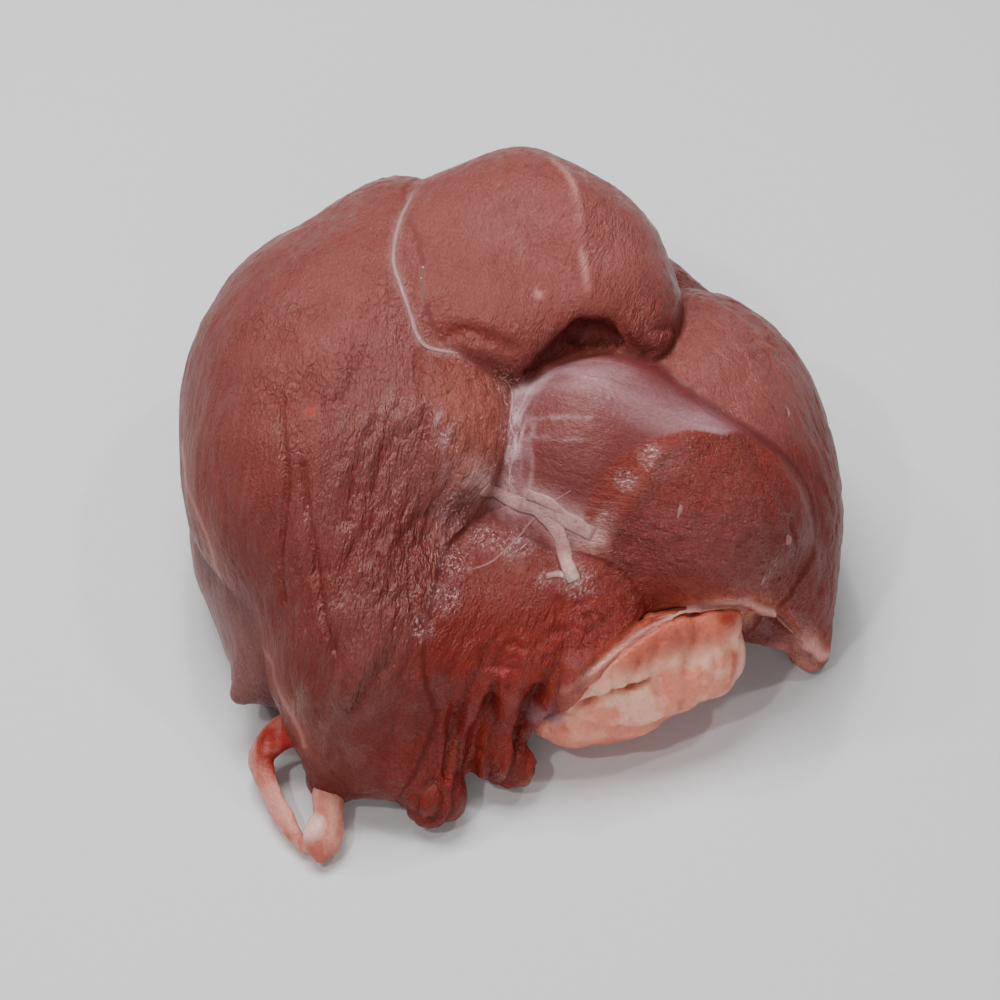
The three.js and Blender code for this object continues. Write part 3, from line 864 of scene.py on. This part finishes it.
def layered(skin):
    """Edges that overlap, and the furrow filled up again along the lowest muscle."""
    out = sum(skin.layer(upper, lower, height) for upper, lower, height in LAYERS)
    low = MUSCLE_NAMES.index("low")
    flush = (skin.region == low) | (skin.neighbour == low)
    return out + np.where(flush, GROOVE_DEPTH * bell(skin.seam, GROOVE_WIDTH), 0)


def meat_relief(skin):
    points, masks = skin.points, skin.masks
    out = 0.8 * noise(points, 26, 1) + 0.45 * noise(points, 11, 2)
    fine = noise(skin.fibre, 2.4, 5) + 0.7 * noise(skin.fibre, 1.4, 6)
    out += 0.20 * fine * (1 - 0.7 * masks["film"])
    out += left_relief(skin) + cut_relief(skin) + low_relief(skin) + top_relief(skin)
    out += right_relief(skin) + layered(skin)
    out -= 1.6 * near_line(points, RIM, 7) * smoothstep(-1.0, -3.0, over_rim(points)) * rim_begun(points)
    out += 0.35 * masks["wet"] * noise(points, 2.0, 8) - 1.5 * masks["dent"]
    return out * smoothstep(0.5, 7, points[:, 2])


# Painting

class Paint:
    """Colour of each vertex, built up in layers."""

    def __init__(self, count, colour):
        self.colours = np.tile(colour, (count, 1))

    def lay(self, colour, mask):
        mask = np.clip(mask, 0, 1)[:, None]
        self.colours = self.colours + (colour - self.colours) * mask


def muscle_colours(lay, skin):
    """Painted light and shade over all the muscles, paler above and darker below, streaks of grain, and the
    torn sheet's edge on the left one.
    """
    points, part, masks = skin.points, skin.part, skin.masks
    z, mottle, streak = points[:, 2], skin.mottle, skin.streak
    # painted light and shade: darker towards the floor with random mottle in it, and paler on the upper
    # surfaces
    upper = (part["left"] + part["top"] + part["back"]) * smoothstep(84, 116, z + 5 * mottle)
    lay(DARK_MEAT, smoothstep(96, 30, z) * 0.85 + 0.25 * mottle)
    lay(PALE_MEAT, upper * 0.7)
    lay(PALE_MEAT, part["right"] * spot(points, *PALE_RIGHT) * 0.9)
    lay(PALE_MEAT, smoothstep(0.3, 1.1, streak) * 0.25)
    lay(DARK_MEAT, smoothstep(-0.3, -1.1, streak) * 0.25)
    lay(ORANGE_MEAT, masks["wall"] * (0.7 + 0.3 * mottle))
    lay(SHEET_BROWN, masks["sheet"] * 0.9)
    # pale line along the sheet's edge: partly its own pale rim and partly a painted highlight on the step
    lay(PALE_RIM, part["left"] * near_line(points, SHEET_EDGE, 1.3) * 0.3)


def left_colours(lay, skin):
    """The wrinkled left muscle, its lip, the flaps and the muscle under them."""
    points, part, masks = skin.points, skin.part, skin.masks
    x, z = points[:, 0], points[:, 2]
    threads = smoothstep(0.1, 0.7, noise(skin.fibre, (2.2, 2.2, 5), 107))
    # pale threads on the crests of the wrinkles: partly the film's threads and partly a painted highlight on
    # the crests
    silver_and_sheen = masks["wrinkle"] * smoothstep(0.7, 0.95, skin.wrinkles) * threads
    lay(BROWN_SKIN, part["left"] * spot(points, *BROWN_LEFT) * 0.5)
    lay(BROWN_SKIN, masks["wrinkle"] * smoothstep(44, 66, z) * 0.4)
    # painted shade in the valleys between the wrinkles
    lay(DARK_MEAT, masks["wrinkle"] * smoothstep(0.55, 0.25, skin.wrinkles) * 0.35)
    lay(SILVER_AND_SHEEN, silver_and_sheen * smoothstep(50, 66, z) * 0.7)
    # orange along the lip: partly its own orange-brown and partly painted light that lifts the shade on its
    # steep side
    lay(ORANGE_MEAT, part["left"] * near_line(points, LIP, 4) * 0.5)
    lay(DARK_MEAT, part["left"] * spot(points, *DARK_BY_LIP))
    lay(DARK_MEAT, part["left"] * spot(points, *DARK_CORNER) * 0.8)
    lay(FLAP_RED, masks["red"] * smoothstep(70, 52, z))
    lay(FLAP_RED, masks["flap"] * smoothstep(54, 30, z) * smoothstep(-52, -30, x))
    lay(BRIGHT_RED, masks["rough"] * (0.6 + 0.3 * skin.mottle))
    lay(GREY_SKIN, part["under"] * (0.85 + 0.15 * skin.streak))


def film_colours(lay, skin):
    """Film, silverskin with its painted sheen, painted glints on the wet spots, and pale threads of
    connective tissue.
    """
    points, part, masks = skin.points, skin.part, skin.masks
    haze = 0.55 + 0.5 * noise(points, 3.5, 105) + 0.35 * noise(points, 1.6, 106)
    net = noise(stirred(points, 3, 9, 108) @ fibre_axes(NET_WAY), (1.3, 1.3, 9), 109)
    wisps = 0.5 + 0.4 * noise(skin.fibre, 2, 110)
    bands = [line for line, _, _ in TENDON_RIBBONS]
    lay(FILM, masks["film"] * 0.9)
    lay(FILM, masks["lower"] * smoothstep(58, 68, points[:, 2]) * 0.6)
    # silverskin and its painted sheen in an arc over the smooth muscle, with the white net by the lip and
    # the tendon
    lay(SILVER_AND_SHEEN, masks["silver_and_sheen"] * (0.75 + 0.2 * skin.streak))
    lay(BEVEL_RED, masks["bevel"] * 0.9)
    lay(WHITE_FILM, near_line(points, LIP_FILM, 5) * smoothstep(-0.5, 0.7, net) * (1 - part["left"]))
    lay(TENDON, near_line(points, TENDON_FILM, 6) * haze * 0.6)
    lay(TENDON, near_lines(points, bands, 2.8) * 0.7)
    lay(WHITE_FILM, part["centre"] * spot(points, *FILM_CORNER) * wisps)
    # partly the pale film on the wet spots and partly painted glints
    lay(SILVER_AND_SHEEN, spots(points, WET_SPOTS) * np.clip(haze - 0.2, 0, 1) * 0.3)
    lay(WHITE_FILM, near_lines(points, FILM_LINES, 0.8) * haze * 0.3)
    lay(WHITE_FILM, near_line(points, SEAM_LINE, 1.6) * 0.2)
    lay(PALE_RIM, part["top"] * near_line(points, RIDGE, 1.2) * 0.4)
    # pale mark on the top muscle: partly a pale patch and partly its painted glint
    lay(PALE_RIM, spot(points, *PALE_MARK) * smoothstep(0.3, 0.9, haze) * 0.5)


def cut_colours(lay, skin):
    """The cut face with a painted highlight at its crest, painted shade in the creases and the dent, and a
    painted shadow in the hollow under the top muscle.
    """
    points, part, masks = skin.points, skin.part, skin.masks
    x, y, z = points.T
    cut = masks["cut"]
    lay(CUT_RED, cut)
    lay(CUT_DARK, cut * np.clip(0.3 + 0.5 * skin.mottle, 0, 1) * (1 - masks["rough"]) * 0.6)
    lay(CUT_DARK, cut * smoothstep(62, 84, x) * 0.4)
    lay(BEVEL_RED, cut * near_line(points, CREST[:7], 8) * 0.6)
    # painted highlight: a paler patch on the crest where the glints gather
    lay(PALE_MEAT, cut * spot(points, *PALE_CREST) * 0.7)
    lay(BRIGHT_RED, cut * spot(points, *BRIGHT_FRONT) * 0.7)
    # painted shade in the creases and in the dent
    lay(DARK_MEAT, masks["crease"] * 0.8)
    lay(FLAP_RED, masks["dent"] * 0.75)
    # painted shadow in the hollow under the top muscle, darkest along its mouth
    lay(FLAP_RED, near_line(points, CAVE_LINE, 12) * part["top"] * 0.8)
    lay(CAVE_SHADOW, near_line(points, CAVE_LINE, 6.5))
    lay(FLAP_RED, part["right"] * smoothstep(80, 55, z) * smoothstep(34, 12, y) * 0.7)


def rim_colours(lay, skin):
    """The pale rim over the fat, orange above it and shaded below."""
    points, masks = skin.points, skin.masks
    over = over_rim(points)
    begun = smoothstep(15, 28, points[:, 0])
    band = near_line(points, RIM, 7) * begun
    near = np.clip(1.5 * band, 0, 1)
    lines = smoothstep(-0.6, 0.6, noise(points @ fibre_axes(FLAP_WAY), (1.5, 1.5, 8), 114))
    lay(UNDER_RIM, masks["under_rim"] * 0.9)
    lay(BRIGHT_RED, near_line(points, RIM, 14) * smoothstep(0, 4, over) * begun * 0.6)
    lay(RIM_ORANGE, band * smoothstep(0, 1.5, over) * smoothstep(9, 2, over) * (0.4 + 0.6 * lines))
    lay(UNDER_RIM, near * smoothstep(0, -1.5, over) * smoothstep(84, 78, points[:, 0]))
    lay(FAT_PINK, near * smoothstep(-1, -2.5, over) * smoothstep(-0.2, 0.6, skin.mottle) * 0.5)
    lay(PALE_RIM, near * bell(over - 0.6, 1.3))
    lay(PALE_RIM, spot(points, *RIM_END) * near_line(points, RIM, 4) * 0.9)


def last_colours(lay, skin, out):
    """The spot of blood, painted shade on the lower part of the top muscle and in the hollows, and the flaps
    with painted shade between their ropes and painted light on them.
    """
    points, part, masks = skin.points, skin.part, skin.masks
    x, z = points[:, 0], points[:, 2]
    hanging = masks["flap"] * (0.4 + 0.6 * smoothstep(-40, -22, x))
    raised = masks["flap"] * smoothstep(0.6, 0.9, skin.ropes)
    lay(PALE_RIM, masks["knot"] * 0.15)
    lay(BLOOD, masks["blood"])
    # painted shade: the top muscle darker towards its lower edge
    lay(MEAT, part["top"] * smoothstep(111, 97, z) * 0.85)
    lay(DARK_MEAT, part["top"] * smoothstep(103, 88, z) * 0.6)
    # painted shade in the hollows of the relief
    lay(FLAP_RED, smoothstep(-0.6, -2.6, out) * 0.75)
    lay(PURPLE, spot(points, *PURPLE_MARK) * 0.9)
    # painted shade between the ropes of the flaps
    lay(CUT_DARK, hanging * smoothstep(0.6, 0.3, skin.ropes) * 0.7)
    # painted light on the rope crests, in the flaps' own brighter reds
    lay(MEAT, masks["flap"] * smoothstep(0.7, 0.95, skin.ropes) * 0.2)
    lay(BRIGHT_RED, raised * smoothstep(-26, -10, x) * 0.6)
    lay(PALE_MEAT, part["top"] * spot(points, *PALE_TOP) * 0.6)
    lay(DARK_MEAT, part["top"] * spot(points, *DARK_TOP) * 0.5)


def meat_colours(skin, out):
    """The colour of each point, with later layers over earlier ones."""
    paint = Paint(len(skin.points), MEAT)
    for group in (muscle_colours, left_colours, film_colours, cut_colours, rim_colours):
        group(paint.lay, skin)
    last_colours(paint.lay, skin, out)
    return paint.colours


# Meshes

def make_object(name, points, faces, tint=None, place=None, masks=None):
    mesh = bpy.data.meshes.new(name)
    mesh.vertices.add(len(points))
    mesh.vertices.foreach_set("co", (np.asarray(points) * MM).astype(np.float32).ravel())
    mesh.loops.add(faces.size)
    mesh.loops.foreach_set("vertex_index", faces.astype(np.int32).ravel())
    mesh.polygons.add(len(faces))
    mesh.polygons.foreach_set("loop_start", np.arange(0, faces.size, faces.shape[1], dtype=np.int32))
    mesh.update(calc_edges=True)
    mesh.validate()
    mesh.polygons.foreach_set("use_smooth", np.ones(len(mesh.polygons), bool))
    for key, values in (masks or {}).items():
        layer = mesh.attributes.new(key, "FLOAT", "POINT")
        layer.data.foreach_set("value", values.astype(np.float32))
    if place is not None:
        layer = mesh.attributes.new("place", "FLOAT_VECTOR", "POINT")
        layer.data.foreach_set("vector", place.astype(np.float32).ravel())
    if tint is not None:
        layer = mesh.color_attributes.new("tint", "FLOAT_COLOR", "POINT")
        opaque = np.column_stack([tint, np.ones(len(tint))])
        layer.data.foreach_set("color", opaque.astype(np.float32).ravel())
    piece = bpy.data.objects.new(name, mesh)
    bpy.context.scene.collection.objects.link(piece)
    return piece


def finish_piece(piece, material, node=None):
    """Gives a piece its material and its body, and hides the node's part that it stands for."""
    piece.data.materials.append(material)
    if node:
        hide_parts(node)
    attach(piece, "root")


# Masks that the material of the flesh reads, besides the joins
SHADER_MASKS = ("cut", "wet", "crackle", "wrinkle", "flap", "film", "side")


def carved_meat(points):
    """The meat without the pocket of the fat pad."""
    return np.maximum(meat_distance(points), 0.5 - fat_distance(points))


def joins(region, faces):
    """1 at the vertices of faces that lie on two muscles, where the fibres change direction."""
    owner = region[faces]
    shared = (owner != owner[:, :1]).any(axis=1)
    marks = np.zeros(len(region))
    marks[faces[shared].ravel()] = 1
    return marks


def make_flesh():
    points, faces = draw_surface(carved_meat, *FLESH_BOX, MEAT_CELL)
    skin = Skin(points)
    out = meat_relief(skin) * smoothstep(0.4, 3.0, fat_distance(points))
    moved = points + skin.normals * out[:, None]
    moved[:, 2] = np.maximum(moved[:, 2], 0)
    kept = {key: skin.masks[key] for key in SHADER_MASKS}
    kept["join"] = joins(skin.region, faces)
    return make_object("flesh", moved, faces, meat_colours(skin, out), skin.fibre, kept)


def fat_relief(points):
    out = 1.3 * noise(points, 15, 111) + 0.6 * noise(points, 6, 112) + 0.2 * noise(points, 2.4, 113)
    upper = smoothstep(24, 34, points[:, 2])
    small = folds(points, *SMALL_FAT_FOLDS)
    long = folds(points, *LONG_FAT_FOLDS)
    out += upper * 1.2 * (small - 0.6) + (1 - upper) * 0.8 * (long - 0.6)
    out -= 2.4 * near_line(points, FAT_FOLD, 1.2)
    return out - 1.4 * near_lines(points, FAT_CREASES, 1.8)


def make_fat():
    points, faces = draw_surface(fat_distance, *FAT_BOX, FAT_CELL)
    normals = normals_of(fat_distance, points)
    shown = smoothstep(-3.0, 0.5, meat_distance(points))
    below = near_line(points, RIM, 8) * smoothstep(-0.5, -3.0, over_rim(points)) * rim_begun(points)
    moved = points + normals * (fat_relief(points) * shown + FAT_LIFT * below)[:, None]
    return make_object("fat_lobes", moved, faces, fat_colours(points, normals), points)


def fat_colours(points, normals):
    z = points[:, 2]
    cloud = noise(points, 11, 121) + 0.5 * noise(points, 4, 122)
    torn = noise(points, 5, 124) + 0.8 * noise(points, 2.2, 125)
    folded = near_line(points, FAT_FOLD, 0.9) * 0.8 + near_lines(points, FAT_CREASES, 1.5) * 0.25
    paint = Paint(len(points), FAT_PALE)
    paint.lay(FAT_PINK, smoothstep(-0.1, 0.9, cloud) * 0.8)
    # redder towards the top, under the rim: partly the fat's own orange-red and partly painted shade under
    # the rim's overhang
    paint.lay(FAT_PINK, smoothstep(36, 44, z) * 0.6)
    paint.lay(FAT_RED, smoothstep(37, 45, z) * 0.7)
    paint.lay(FAT_PINK, smoothstep(28, 10, z) * 0.8)
    # painted shade on the undersides of the fat
    paint.lay(FAT_RED, smoothstep(0.1, -0.7, normals[:, 2]) * 0.4)
    paint.lay(FAT_RED, spots(points, FAT_STAINS) * smoothstep(-0.3, 0.9, torn) * 0.9)
    paint.lay(FAT_PINK, smoothstep(0.2, 0.9, noise(points, (7, 5, 9), 123)) * 0.7)
    # painted shade in the fold and the creases of the fat
    paint.lay(FAT_RED, folded)
    paint.lay(PURPLE, spot(points, *FAT_PURPLE_MARK))
    return paint.colours


def make_strip(name, line, radii, flat, seed, stains):
    """A loose strip of sinew with coloured spots."""
    line = smooth_line(line, ROUTE_STEPS)
    places = np.linspace(0, len(radii) - 1, len(line))
    tube = strand(line, np.interp(places, np.arange(len(radii)), radii))
    flat = np.array(flat) / np.linalg.norm(flat)

    def field(p):
        q = p.reshape(-1, 3)
        lumps = (0.5 * noise(q, 6, seed) + 0.25 * noise(q, 2.6, seed + 1)).reshape(p.shape[:-1])
        return melt_max(strand_distance(p, tube, flat) + lumps, -p[..., 2], 1.0)

    low = tube[0].min(0) - STRIP_ROOM
    low[2] = -2.0
    drawn, faces = draw_surface(field, low, tube[0].max(0) + STRIP_ROOM, STRIP_CELL)
    paint = Paint(len(drawn), SINEW)
    cloud = noise(drawn, (2, 14, 4), seed + 2) + 0.4 * noise(drawn, 2, seed + 3)
    paint.lay(SINEW_PINK, smoothstep(-0.2, 0.8, cloud) * 0.8)
    for colour, centre, size in stains:
        paint.lay(colour, spot(drawn, centre, size) * np.clip(0.9 + 0.5 * cloud, 0, 1))
    return make_object(name, drawn, faces, paint.colours, drawn)


def on_meat(line):
    """A smooth line laid on the meat's finished surface, with the normals and colours there."""
    skin = Skin(settle(meat_distance, smooth_line(line, ROUTE_STEPS), turns=6))
    out = meat_relief(skin)
    return skin.points + skin.normals * out[:, None], skin.normals, meat_colours(skin, out)


def ring_faces(count):
    """Faces round a tube of that many rings, with both ends closed."""
    faces = []
    for i in range(count - 1):
        for k in range(RIBBON_SIDES):
            a, b = i * RIBBON_SIDES + k, i * RIBBON_SIDES + (k + 1) % RIBBON_SIDES
            faces.append((b, a, a + RIBBON_SIDES, b + RIBBON_SIDES))
    last = (count - 1) * RIBBON_SIDES
    for k in range(1, RIBBON_SIDES // 2):
        cap = (k - 1, k, RIBBON_SIDES - 1 - k, RIBBON_SIDES - k)
        faces.append(cap)
        faces.append(tuple(last + f for f in cap[::-1]))
    return np.array(faces)


def ribbon(line, width, thickness, blunt=False):
    """A flat band on the meat: points, faces, the colour below each point, and how near an edge it is."""
    points, normals, below = on_meat(line)
    along = np.gradient(points, axis=0)
    along /= np.linalg.norm(along, axis=-1, keepdims=True)
    across = np.cross(along, normals)
    count = len(points)
    size = 1 + 0.25 * noise(points, 5, 141)
    if not blunt:
        inward = np.minimum(np.arange(count), np.arange(count)[::-1])
        size = size * (0.35 + 0.65 * smoothstep(0, 4, inward))
    angles = 2 * math.pi * np.arange(RIBBON_SIDES) / RIBBON_SIDES
    rings = []
    for angle in angles:
        side = across * math.cos(angle) * width + normals * math.sin(angle) * thickness
        rings.append(points + side * size[:, None])
    vertices = np.stack(rings, 1).reshape(-1, 3)
    edge = np.tile(np.cos(angles) ** 2, count)
    return vertices, ring_faces(count), np.repeat(below, RIBBON_SIDES, axis=0), edge


def make_thread(name, line, radius, cover):
    """A thin flat thread of tissue on the meat, which narrows to both ends."""
    vertices, faces, below, _ = ribbon(line, radius * THREAD_FLATNESS, radius)
    return make_object(name, vertices, faces, below + (THREAD - below) * cover, vertices)


def make_tendon():
    """Flat forked bands with square ends, which fade into the meat at their edges."""
    parts = [ribbon(line, width, thickness, blunt=True) for line, width, thickness in TENDON_RIBBONS]
    starts = np.cumsum([0] + [len(part[0]) for part in parts])
    vertices = np.vstack([part[0] for part in parts])
    faces = np.vstack([part[1] + start for part, start in zip(parts, starts)])
    below = np.vstack([part[2] for part in parts])
    edge = np.concatenate([part[3] for part in parts])
    cloud = noise(vertices, (5, 2, 3), 132) + 0.6 * noise(vertices, 1.6, 133)
    faint = 0.2 + 0.4 * smoothstep(0.4, -0.8, cloud) + 0.6 * edge
    paint = Paint(len(vertices), TENDON)
    paint.lay(TENDON_PINK, smoothstep(-0.3, 0.6, cloud) * 0.8)
    # whiter at the lower end: partly the tendon's cream and partly a painted highlight on its wet knot
    paint.lay(CREAM, spot(vertices, *TENDON_END) * 0.8)
    paint.lay(below, faint + 0.5 * spot(vertices, *TENDON_START))
    return make_object("tendon_fork", vertices, faces, paint.colours, vertices)


# Materials

# Light under the surface and the film of moisture on it, the same on every tissue
WET_TISSUE = {
    "Subsurface Radius": (1.0, 0.35, 0.25), "Coat Roughness": 0.08, "Coat IOR": 1.4, "IOR": 1.35,
    "Specular Tint": (1.0, 0.6, 0.52, 1),
}
# Fat, tendon and sinew: size of the grain, roughness, scattered share and depth, relief in metres, coat
SOFT_TISSUES = {
    "pale_fat": (0.7, 0.34, 0.3, 0.006, 0.0010, 0.4),
    "white_tendon": (1.0, 0.28, 0.2, 0.003, 0.0006, 0.5),
    "wet_sinew": (0.9, 0.36, 0.2, 0.004, 0.0006, 0.2),
}
# How much each mask, and its own moisture, adds to the shine of the flesh
SHINE = {
    "wet": 1, "cut": 0.75, "wrinkle": 0.5, "flap": 0.2, "moist": 0.5, "join": -1, "film": -0.5, "side": -1,
}


class Nodes:
    """Short ways to add the nodes of one material."""

    def __init__(self, name):
        self.material = bpy.data.materials.new(name)
        self.material.use_nodes = True
        self.tree = self.material.node_tree
        self.tree.nodes.clear()
        self.shader = self.tree.nodes.new("ShaderNodeBsdfPrincipled")
        output = self.tree.nodes.new("ShaderNodeOutputMaterial")
        self.feed(self.shader.outputs[0], output.inputs["Surface"])

    def feed(self, value, target):
        """Links an output to an input, or sets the input to a plain value."""
        if hasattr(value, "is_output"):
            self.tree.links.new(value, target)
        else:
            target.default_value = value

    def add(self, kind, result, inputs, **settings):
        """Adds a node and gives its result."""
        node = self.tree.nodes.new("ShaderNode" + kind)
        for key, value in settings.items():
            setattr(node, key, value)
        for key, value in inputs.items():
            self.feed(value, node.inputs[key])
        return node.outputs[result]

    def attribute(self, name, result="Fac"):
        return self.add("Attribute", result, {}, attribute_name=name)

    def scaled(self, place, factors):
        return self.add("VectorMath", 0, {0: place, 1: factors}, operation="MULTIPLY")

    def noise(self, place, scale, detail, rough=0.55):
        inputs = {"Vector": place, "Scale": scale, "Detail": detail, "Roughness": rough}
        return self.add("TexNoise", "Fac", inputs)

    def walls(self, place):
        inputs = {"Vector": place, "Scale": 1.0}
        return self.add("TexVoronoi", "Distance", inputs, feature="DISTANCE_TO_EDGE")

    def range(self, value, low, high, out_low=0.0, out_high=1.0):
        inputs = {"Value": value, "From Min": low, "From Max": high, "To Min": out_low, "To Max": out_high}
        return self.add("MapRange", 0, inputs, interpolation_type="SMOOTHSTEP")

    def product(self, a, b):
        return self.add("Math", 0, {0: a, 1: b}, operation="MULTIPLY")

    def total(self, *terms):
        """The sum of pairs of a value and its weight."""
        out = None
        for value, weight in terms:
            term = value if weight == 1 else self.product(value, weight)
            out = term if out is None else self.add("Math", 0, {0: out, 1: term}, operation="ADD")
        return out

    def shade(self, colour, factor):
        """The colour made lighter or darker by a factor."""
        return self.add("VectorMath", 0, {0: colour, "Scale": factor}, operation="SCALE")

    def blend(self, below, above, factor):
        inputs = {"Factor": factor, "A": below, "B": (*above, 1)}
        return self.add("Mix", "Result", inputs, data_type="RGBA")

    def bump(self, height, distance, strength, below=None):
        inputs = {"Height": height, "Distance": distance, "Strength": strength}
        if below is not None:
            inputs["Normal"] = below
        return self.add("Bump", 0, inputs)

    def finish(self, colour, roughness, normal, scatter, depth, coat):
        inputs = {
            "Base Color": colour, "Roughness": roughness, "Normal": normal, "Coat Normal": normal,
            "Subsurface Weight": scatter, "Subsurface Scale": depth, "Coat Weight": coat, **WET_TISSUE,
        }
        for key, value in inputs.items():
            self.feed(value, self.shader.inputs[key])
        return self.material


def crackle_lines(nodes, even, masks):
    """Fine lines of a dried skin, in patches and clear of the wrinkles."""
    patches = nodes.range(nodes.noise(even, 0.06, 2), 0.40, 0.58)
    walls = nodes.walls(nodes.scaled(even, (0.34, 0.34, 0.26)))
    lines = nodes.product(nodes.range(walls, 0.0, 0.14, 1.0, 0.0), masks["crackle"])
    lines = nodes.product(lines, nodes.range(masks["wrinkle"], 0.0, 0.5, 1.0, 0.0))
    return nodes.product(lines, patches)


def meat_tint(nodes, even, fine, lines, masks):
    """The vertex colour, darker in the lines and joins, with painted glints as pale flecks where it is wet.
    """
    fleck = nodes.range(fine, 0.35, 0.7, 0.88, 1.16)
    factor = nodes.total((fleck, 1), (lines, -0.10), (masks["join"], -0.25))
    colour = nodes.shade(nodes.attribute("tint", "Color"), factor)
    # painted glints: pale flecks laid where the flesh is wet
    painted_glints = nodes.range(nodes.noise(nodes.scaled(even, (1, 1, 0.5)), 1.3, 2, 0.6), 0.56, 0.66, 0.0, 0.75)
    return nodes.blend(colour, PAINTED_GLINT, nodes.product(painted_glints, masks["wet"]))


def meat_normal(nodes, fibre, even, fine, lines, masks):
    """Bundles, grain and skin along the fibres, the cut face's grain, and folds in the wrinkles."""
    clear = nodes.range(masks["join"], 0.0, 1.0, 1.0, 0.0)
    calm = nodes.product(clear, nodes.range(masks["film"], 0.0, 1.0, 1.0, 0.3))
    coarse = nodes.total((masks["wet"], 0.7), (masks["moist"], 0.3))
    coarse = nodes.product(clear, nodes.range(coarse, 0.0, 1.0, 0.22, 1.0))
    grain = nodes.noise(nodes.scaled(even, (1, 1, 0.6)), 0.6, 3, 0.6)
    solid = nodes.scaled(nodes.add("TexCoord", "Object", {}), (1 / MM,) * 3)
    creased = nodes.noise(nodes.scaled(fibre, (1, 1, 1.6)), 0.5, 2, 0.6)
    normal = nodes.bump(nodes.noise(fibre, 0.5, 3), 0.0008, calm)
    normal = nodes.bump(grain, 0.0011, coarse, normal)
    normal = nodes.bump(nodes.total((fine, 1), (lines, -0.4)), 0.0006, calm, normal)
    normal = nodes.bump(nodes.noise(solid, 0.75, 3, 0.65), 0.0016, masks["cut"], normal)
    return nodes.bump(creased, 0.0012, nodes.product(masks["wrinkle"], clear), normal)


def meat_material():
    nodes = Nodes("raw_muscle")
    masks = {key: nodes.attribute(key) for key in (*SHADER_MASKS, "join")}
    fibre = nodes.attribute("place", "Vector")
    even = nodes.scaled(fibre, (1, 1, FIBRE_STRETCH))
    fine = nodes.noise(nodes.scaled(even, (1, 1, 0.5)), 1.6, 2, 0.6)
    masks["moist"] = nodes.range(nodes.noise(even, 0.11, 3), 0.40, 0.66)
    lines = crackle_lines(nodes, even, masks)
    shine = nodes.total(*((masks[key], weight) for key, weight in SHINE.items()))
    roughness = nodes.total((nodes.range(shine, 0.0, 1.0, 0.40, 0.18), 1), (masks["join"], 0.3))
    colour = meat_tint(nodes, even, fine, lines, masks)
    normal = meat_normal(nodes, fibre, even, fine, lines, masks)
    coat = nodes.range(shine, 0.0, 1.2, 0.12, 0.85)
    return nodes.finish(colour, roughness, normal, scatter=0.2, depth=0.004, coat=coat)


def soft_material(name):
    """The vertex colour with a fine wet grain."""
    scale, roughness, scatter, depth, relief, coat = SOFT_TISSUES[name]
    nodes = Nodes(name)
    fine = nodes.noise(nodes.attribute("place", "Vector"), scale, 3, 0.6)
    colour = nodes.shade(nodes.attribute("tint", "Color"), nodes.range(fine, 0.3, 0.7, 0.9, 1.06))
    return nodes.finish(colour, roughness, nodes.bump(fine, relief, 0.7), scatter, depth, coat)


# The stage: floor, lights and camera

def stage_material():
    nodes = Nodes("floor_paint")
    grain = nodes.noise(nodes.add("TexCoord", "Object", {}), 300, 2)
    shade = nodes.range(grain, 0.3, 0.7, 0.80, 0.82)
    colour = nodes.add("CombineColor", 0, {0: shade, 1: shade, 2: shade})
    nodes.feed(colour, nodes.shader.inputs["Base Color"])
    nodes.feed(0.9, nodes.shader.inputs["Roughness"])
    return nodes.material


def make_stage():
    corners = np.array([(-1, -1, 0), (1, -1, 0), (1, 1, 0), (-1, 1, 0)]) * FLOOR_HALF / MM
    floor = make_object("floor", corners, np.array([(0, 1, 2, 3)]))
    floor.data.materials.append(stage_material())


def add_lamp(name, place, size, power):
    light = bpy.data.lights.new(name, "AREA")
    light.shape = "RECTANGLE"
    light.size, light.size_y = size
    light.energy = power
    lamp = bpy.data.objects.new(name, light)
    lamp.location = place
    x, y, z = np.array(CAMERA_TARGET) - place
    lamp.rotation_euler = (math.atan2(math.hypot(x, y), -z), 0, math.atan2(y, x) - math.pi / 2)
    bpy.context.scene.collection.objects.link(lamp)


def make_lights():
    for name, (place, size, power) in LAMPS.items():
        add_lamp(name, place, size, power)
    world = bpy.data.worlds.new("soft_room")
    world.use_nodes = True
    background = world.node_tree.nodes["Background"]
    background.inputs["Color"].default_value = ROOM_COLOUR
    background.inputs["Strength"].default_value = ROOM_LIGHT
    bpy.context.scene.world = world


def make_camera():
    camera = bpy.data.cameras.new("photo_view")
    camera.lens = CAMERA_LENS
    camera.sensor_width = 36
    viewer = bpy.data.objects.new("photo_view", camera)
    tilt = math.radians(CAMERA_ELEVATION)
    x, y, z = CAMERA_TARGET
    viewer.location = (x, y - CAMERA_DISTANCE * math.cos(tilt), z + CAMERA_DISTANCE * math.sin(tilt))
    viewer.rotation_euler = (math.pi / 2 - tilt, 0, 0)
    bpy.context.scene.collection.objects.link(viewer)
    bpy.context.scene.camera = viewer


def main():
    make_camera()
    make_lights()
    make_stage()
    finish_piece(make_flesh(), meat_material(), "meat")
    finish_piece(make_fat(), soft_material("pale_fat"), "fat_pad")
    white = soft_material("white_tendon")
    finish_piece(make_tendon(), white, "tendon")
    sinew = soft_material("wet_sinew")
    for name, node in (("outer_strip", "sinew_outer"), ("inner_strip", "sinew_inner")):
        finish_piece(make_strip(name, **STRIPS[name]), sinew, node)
    for name, (line, radius, cover) in THREADS.items():
        finish_piece(make_thread(name, line, radius, cover), white)


main()
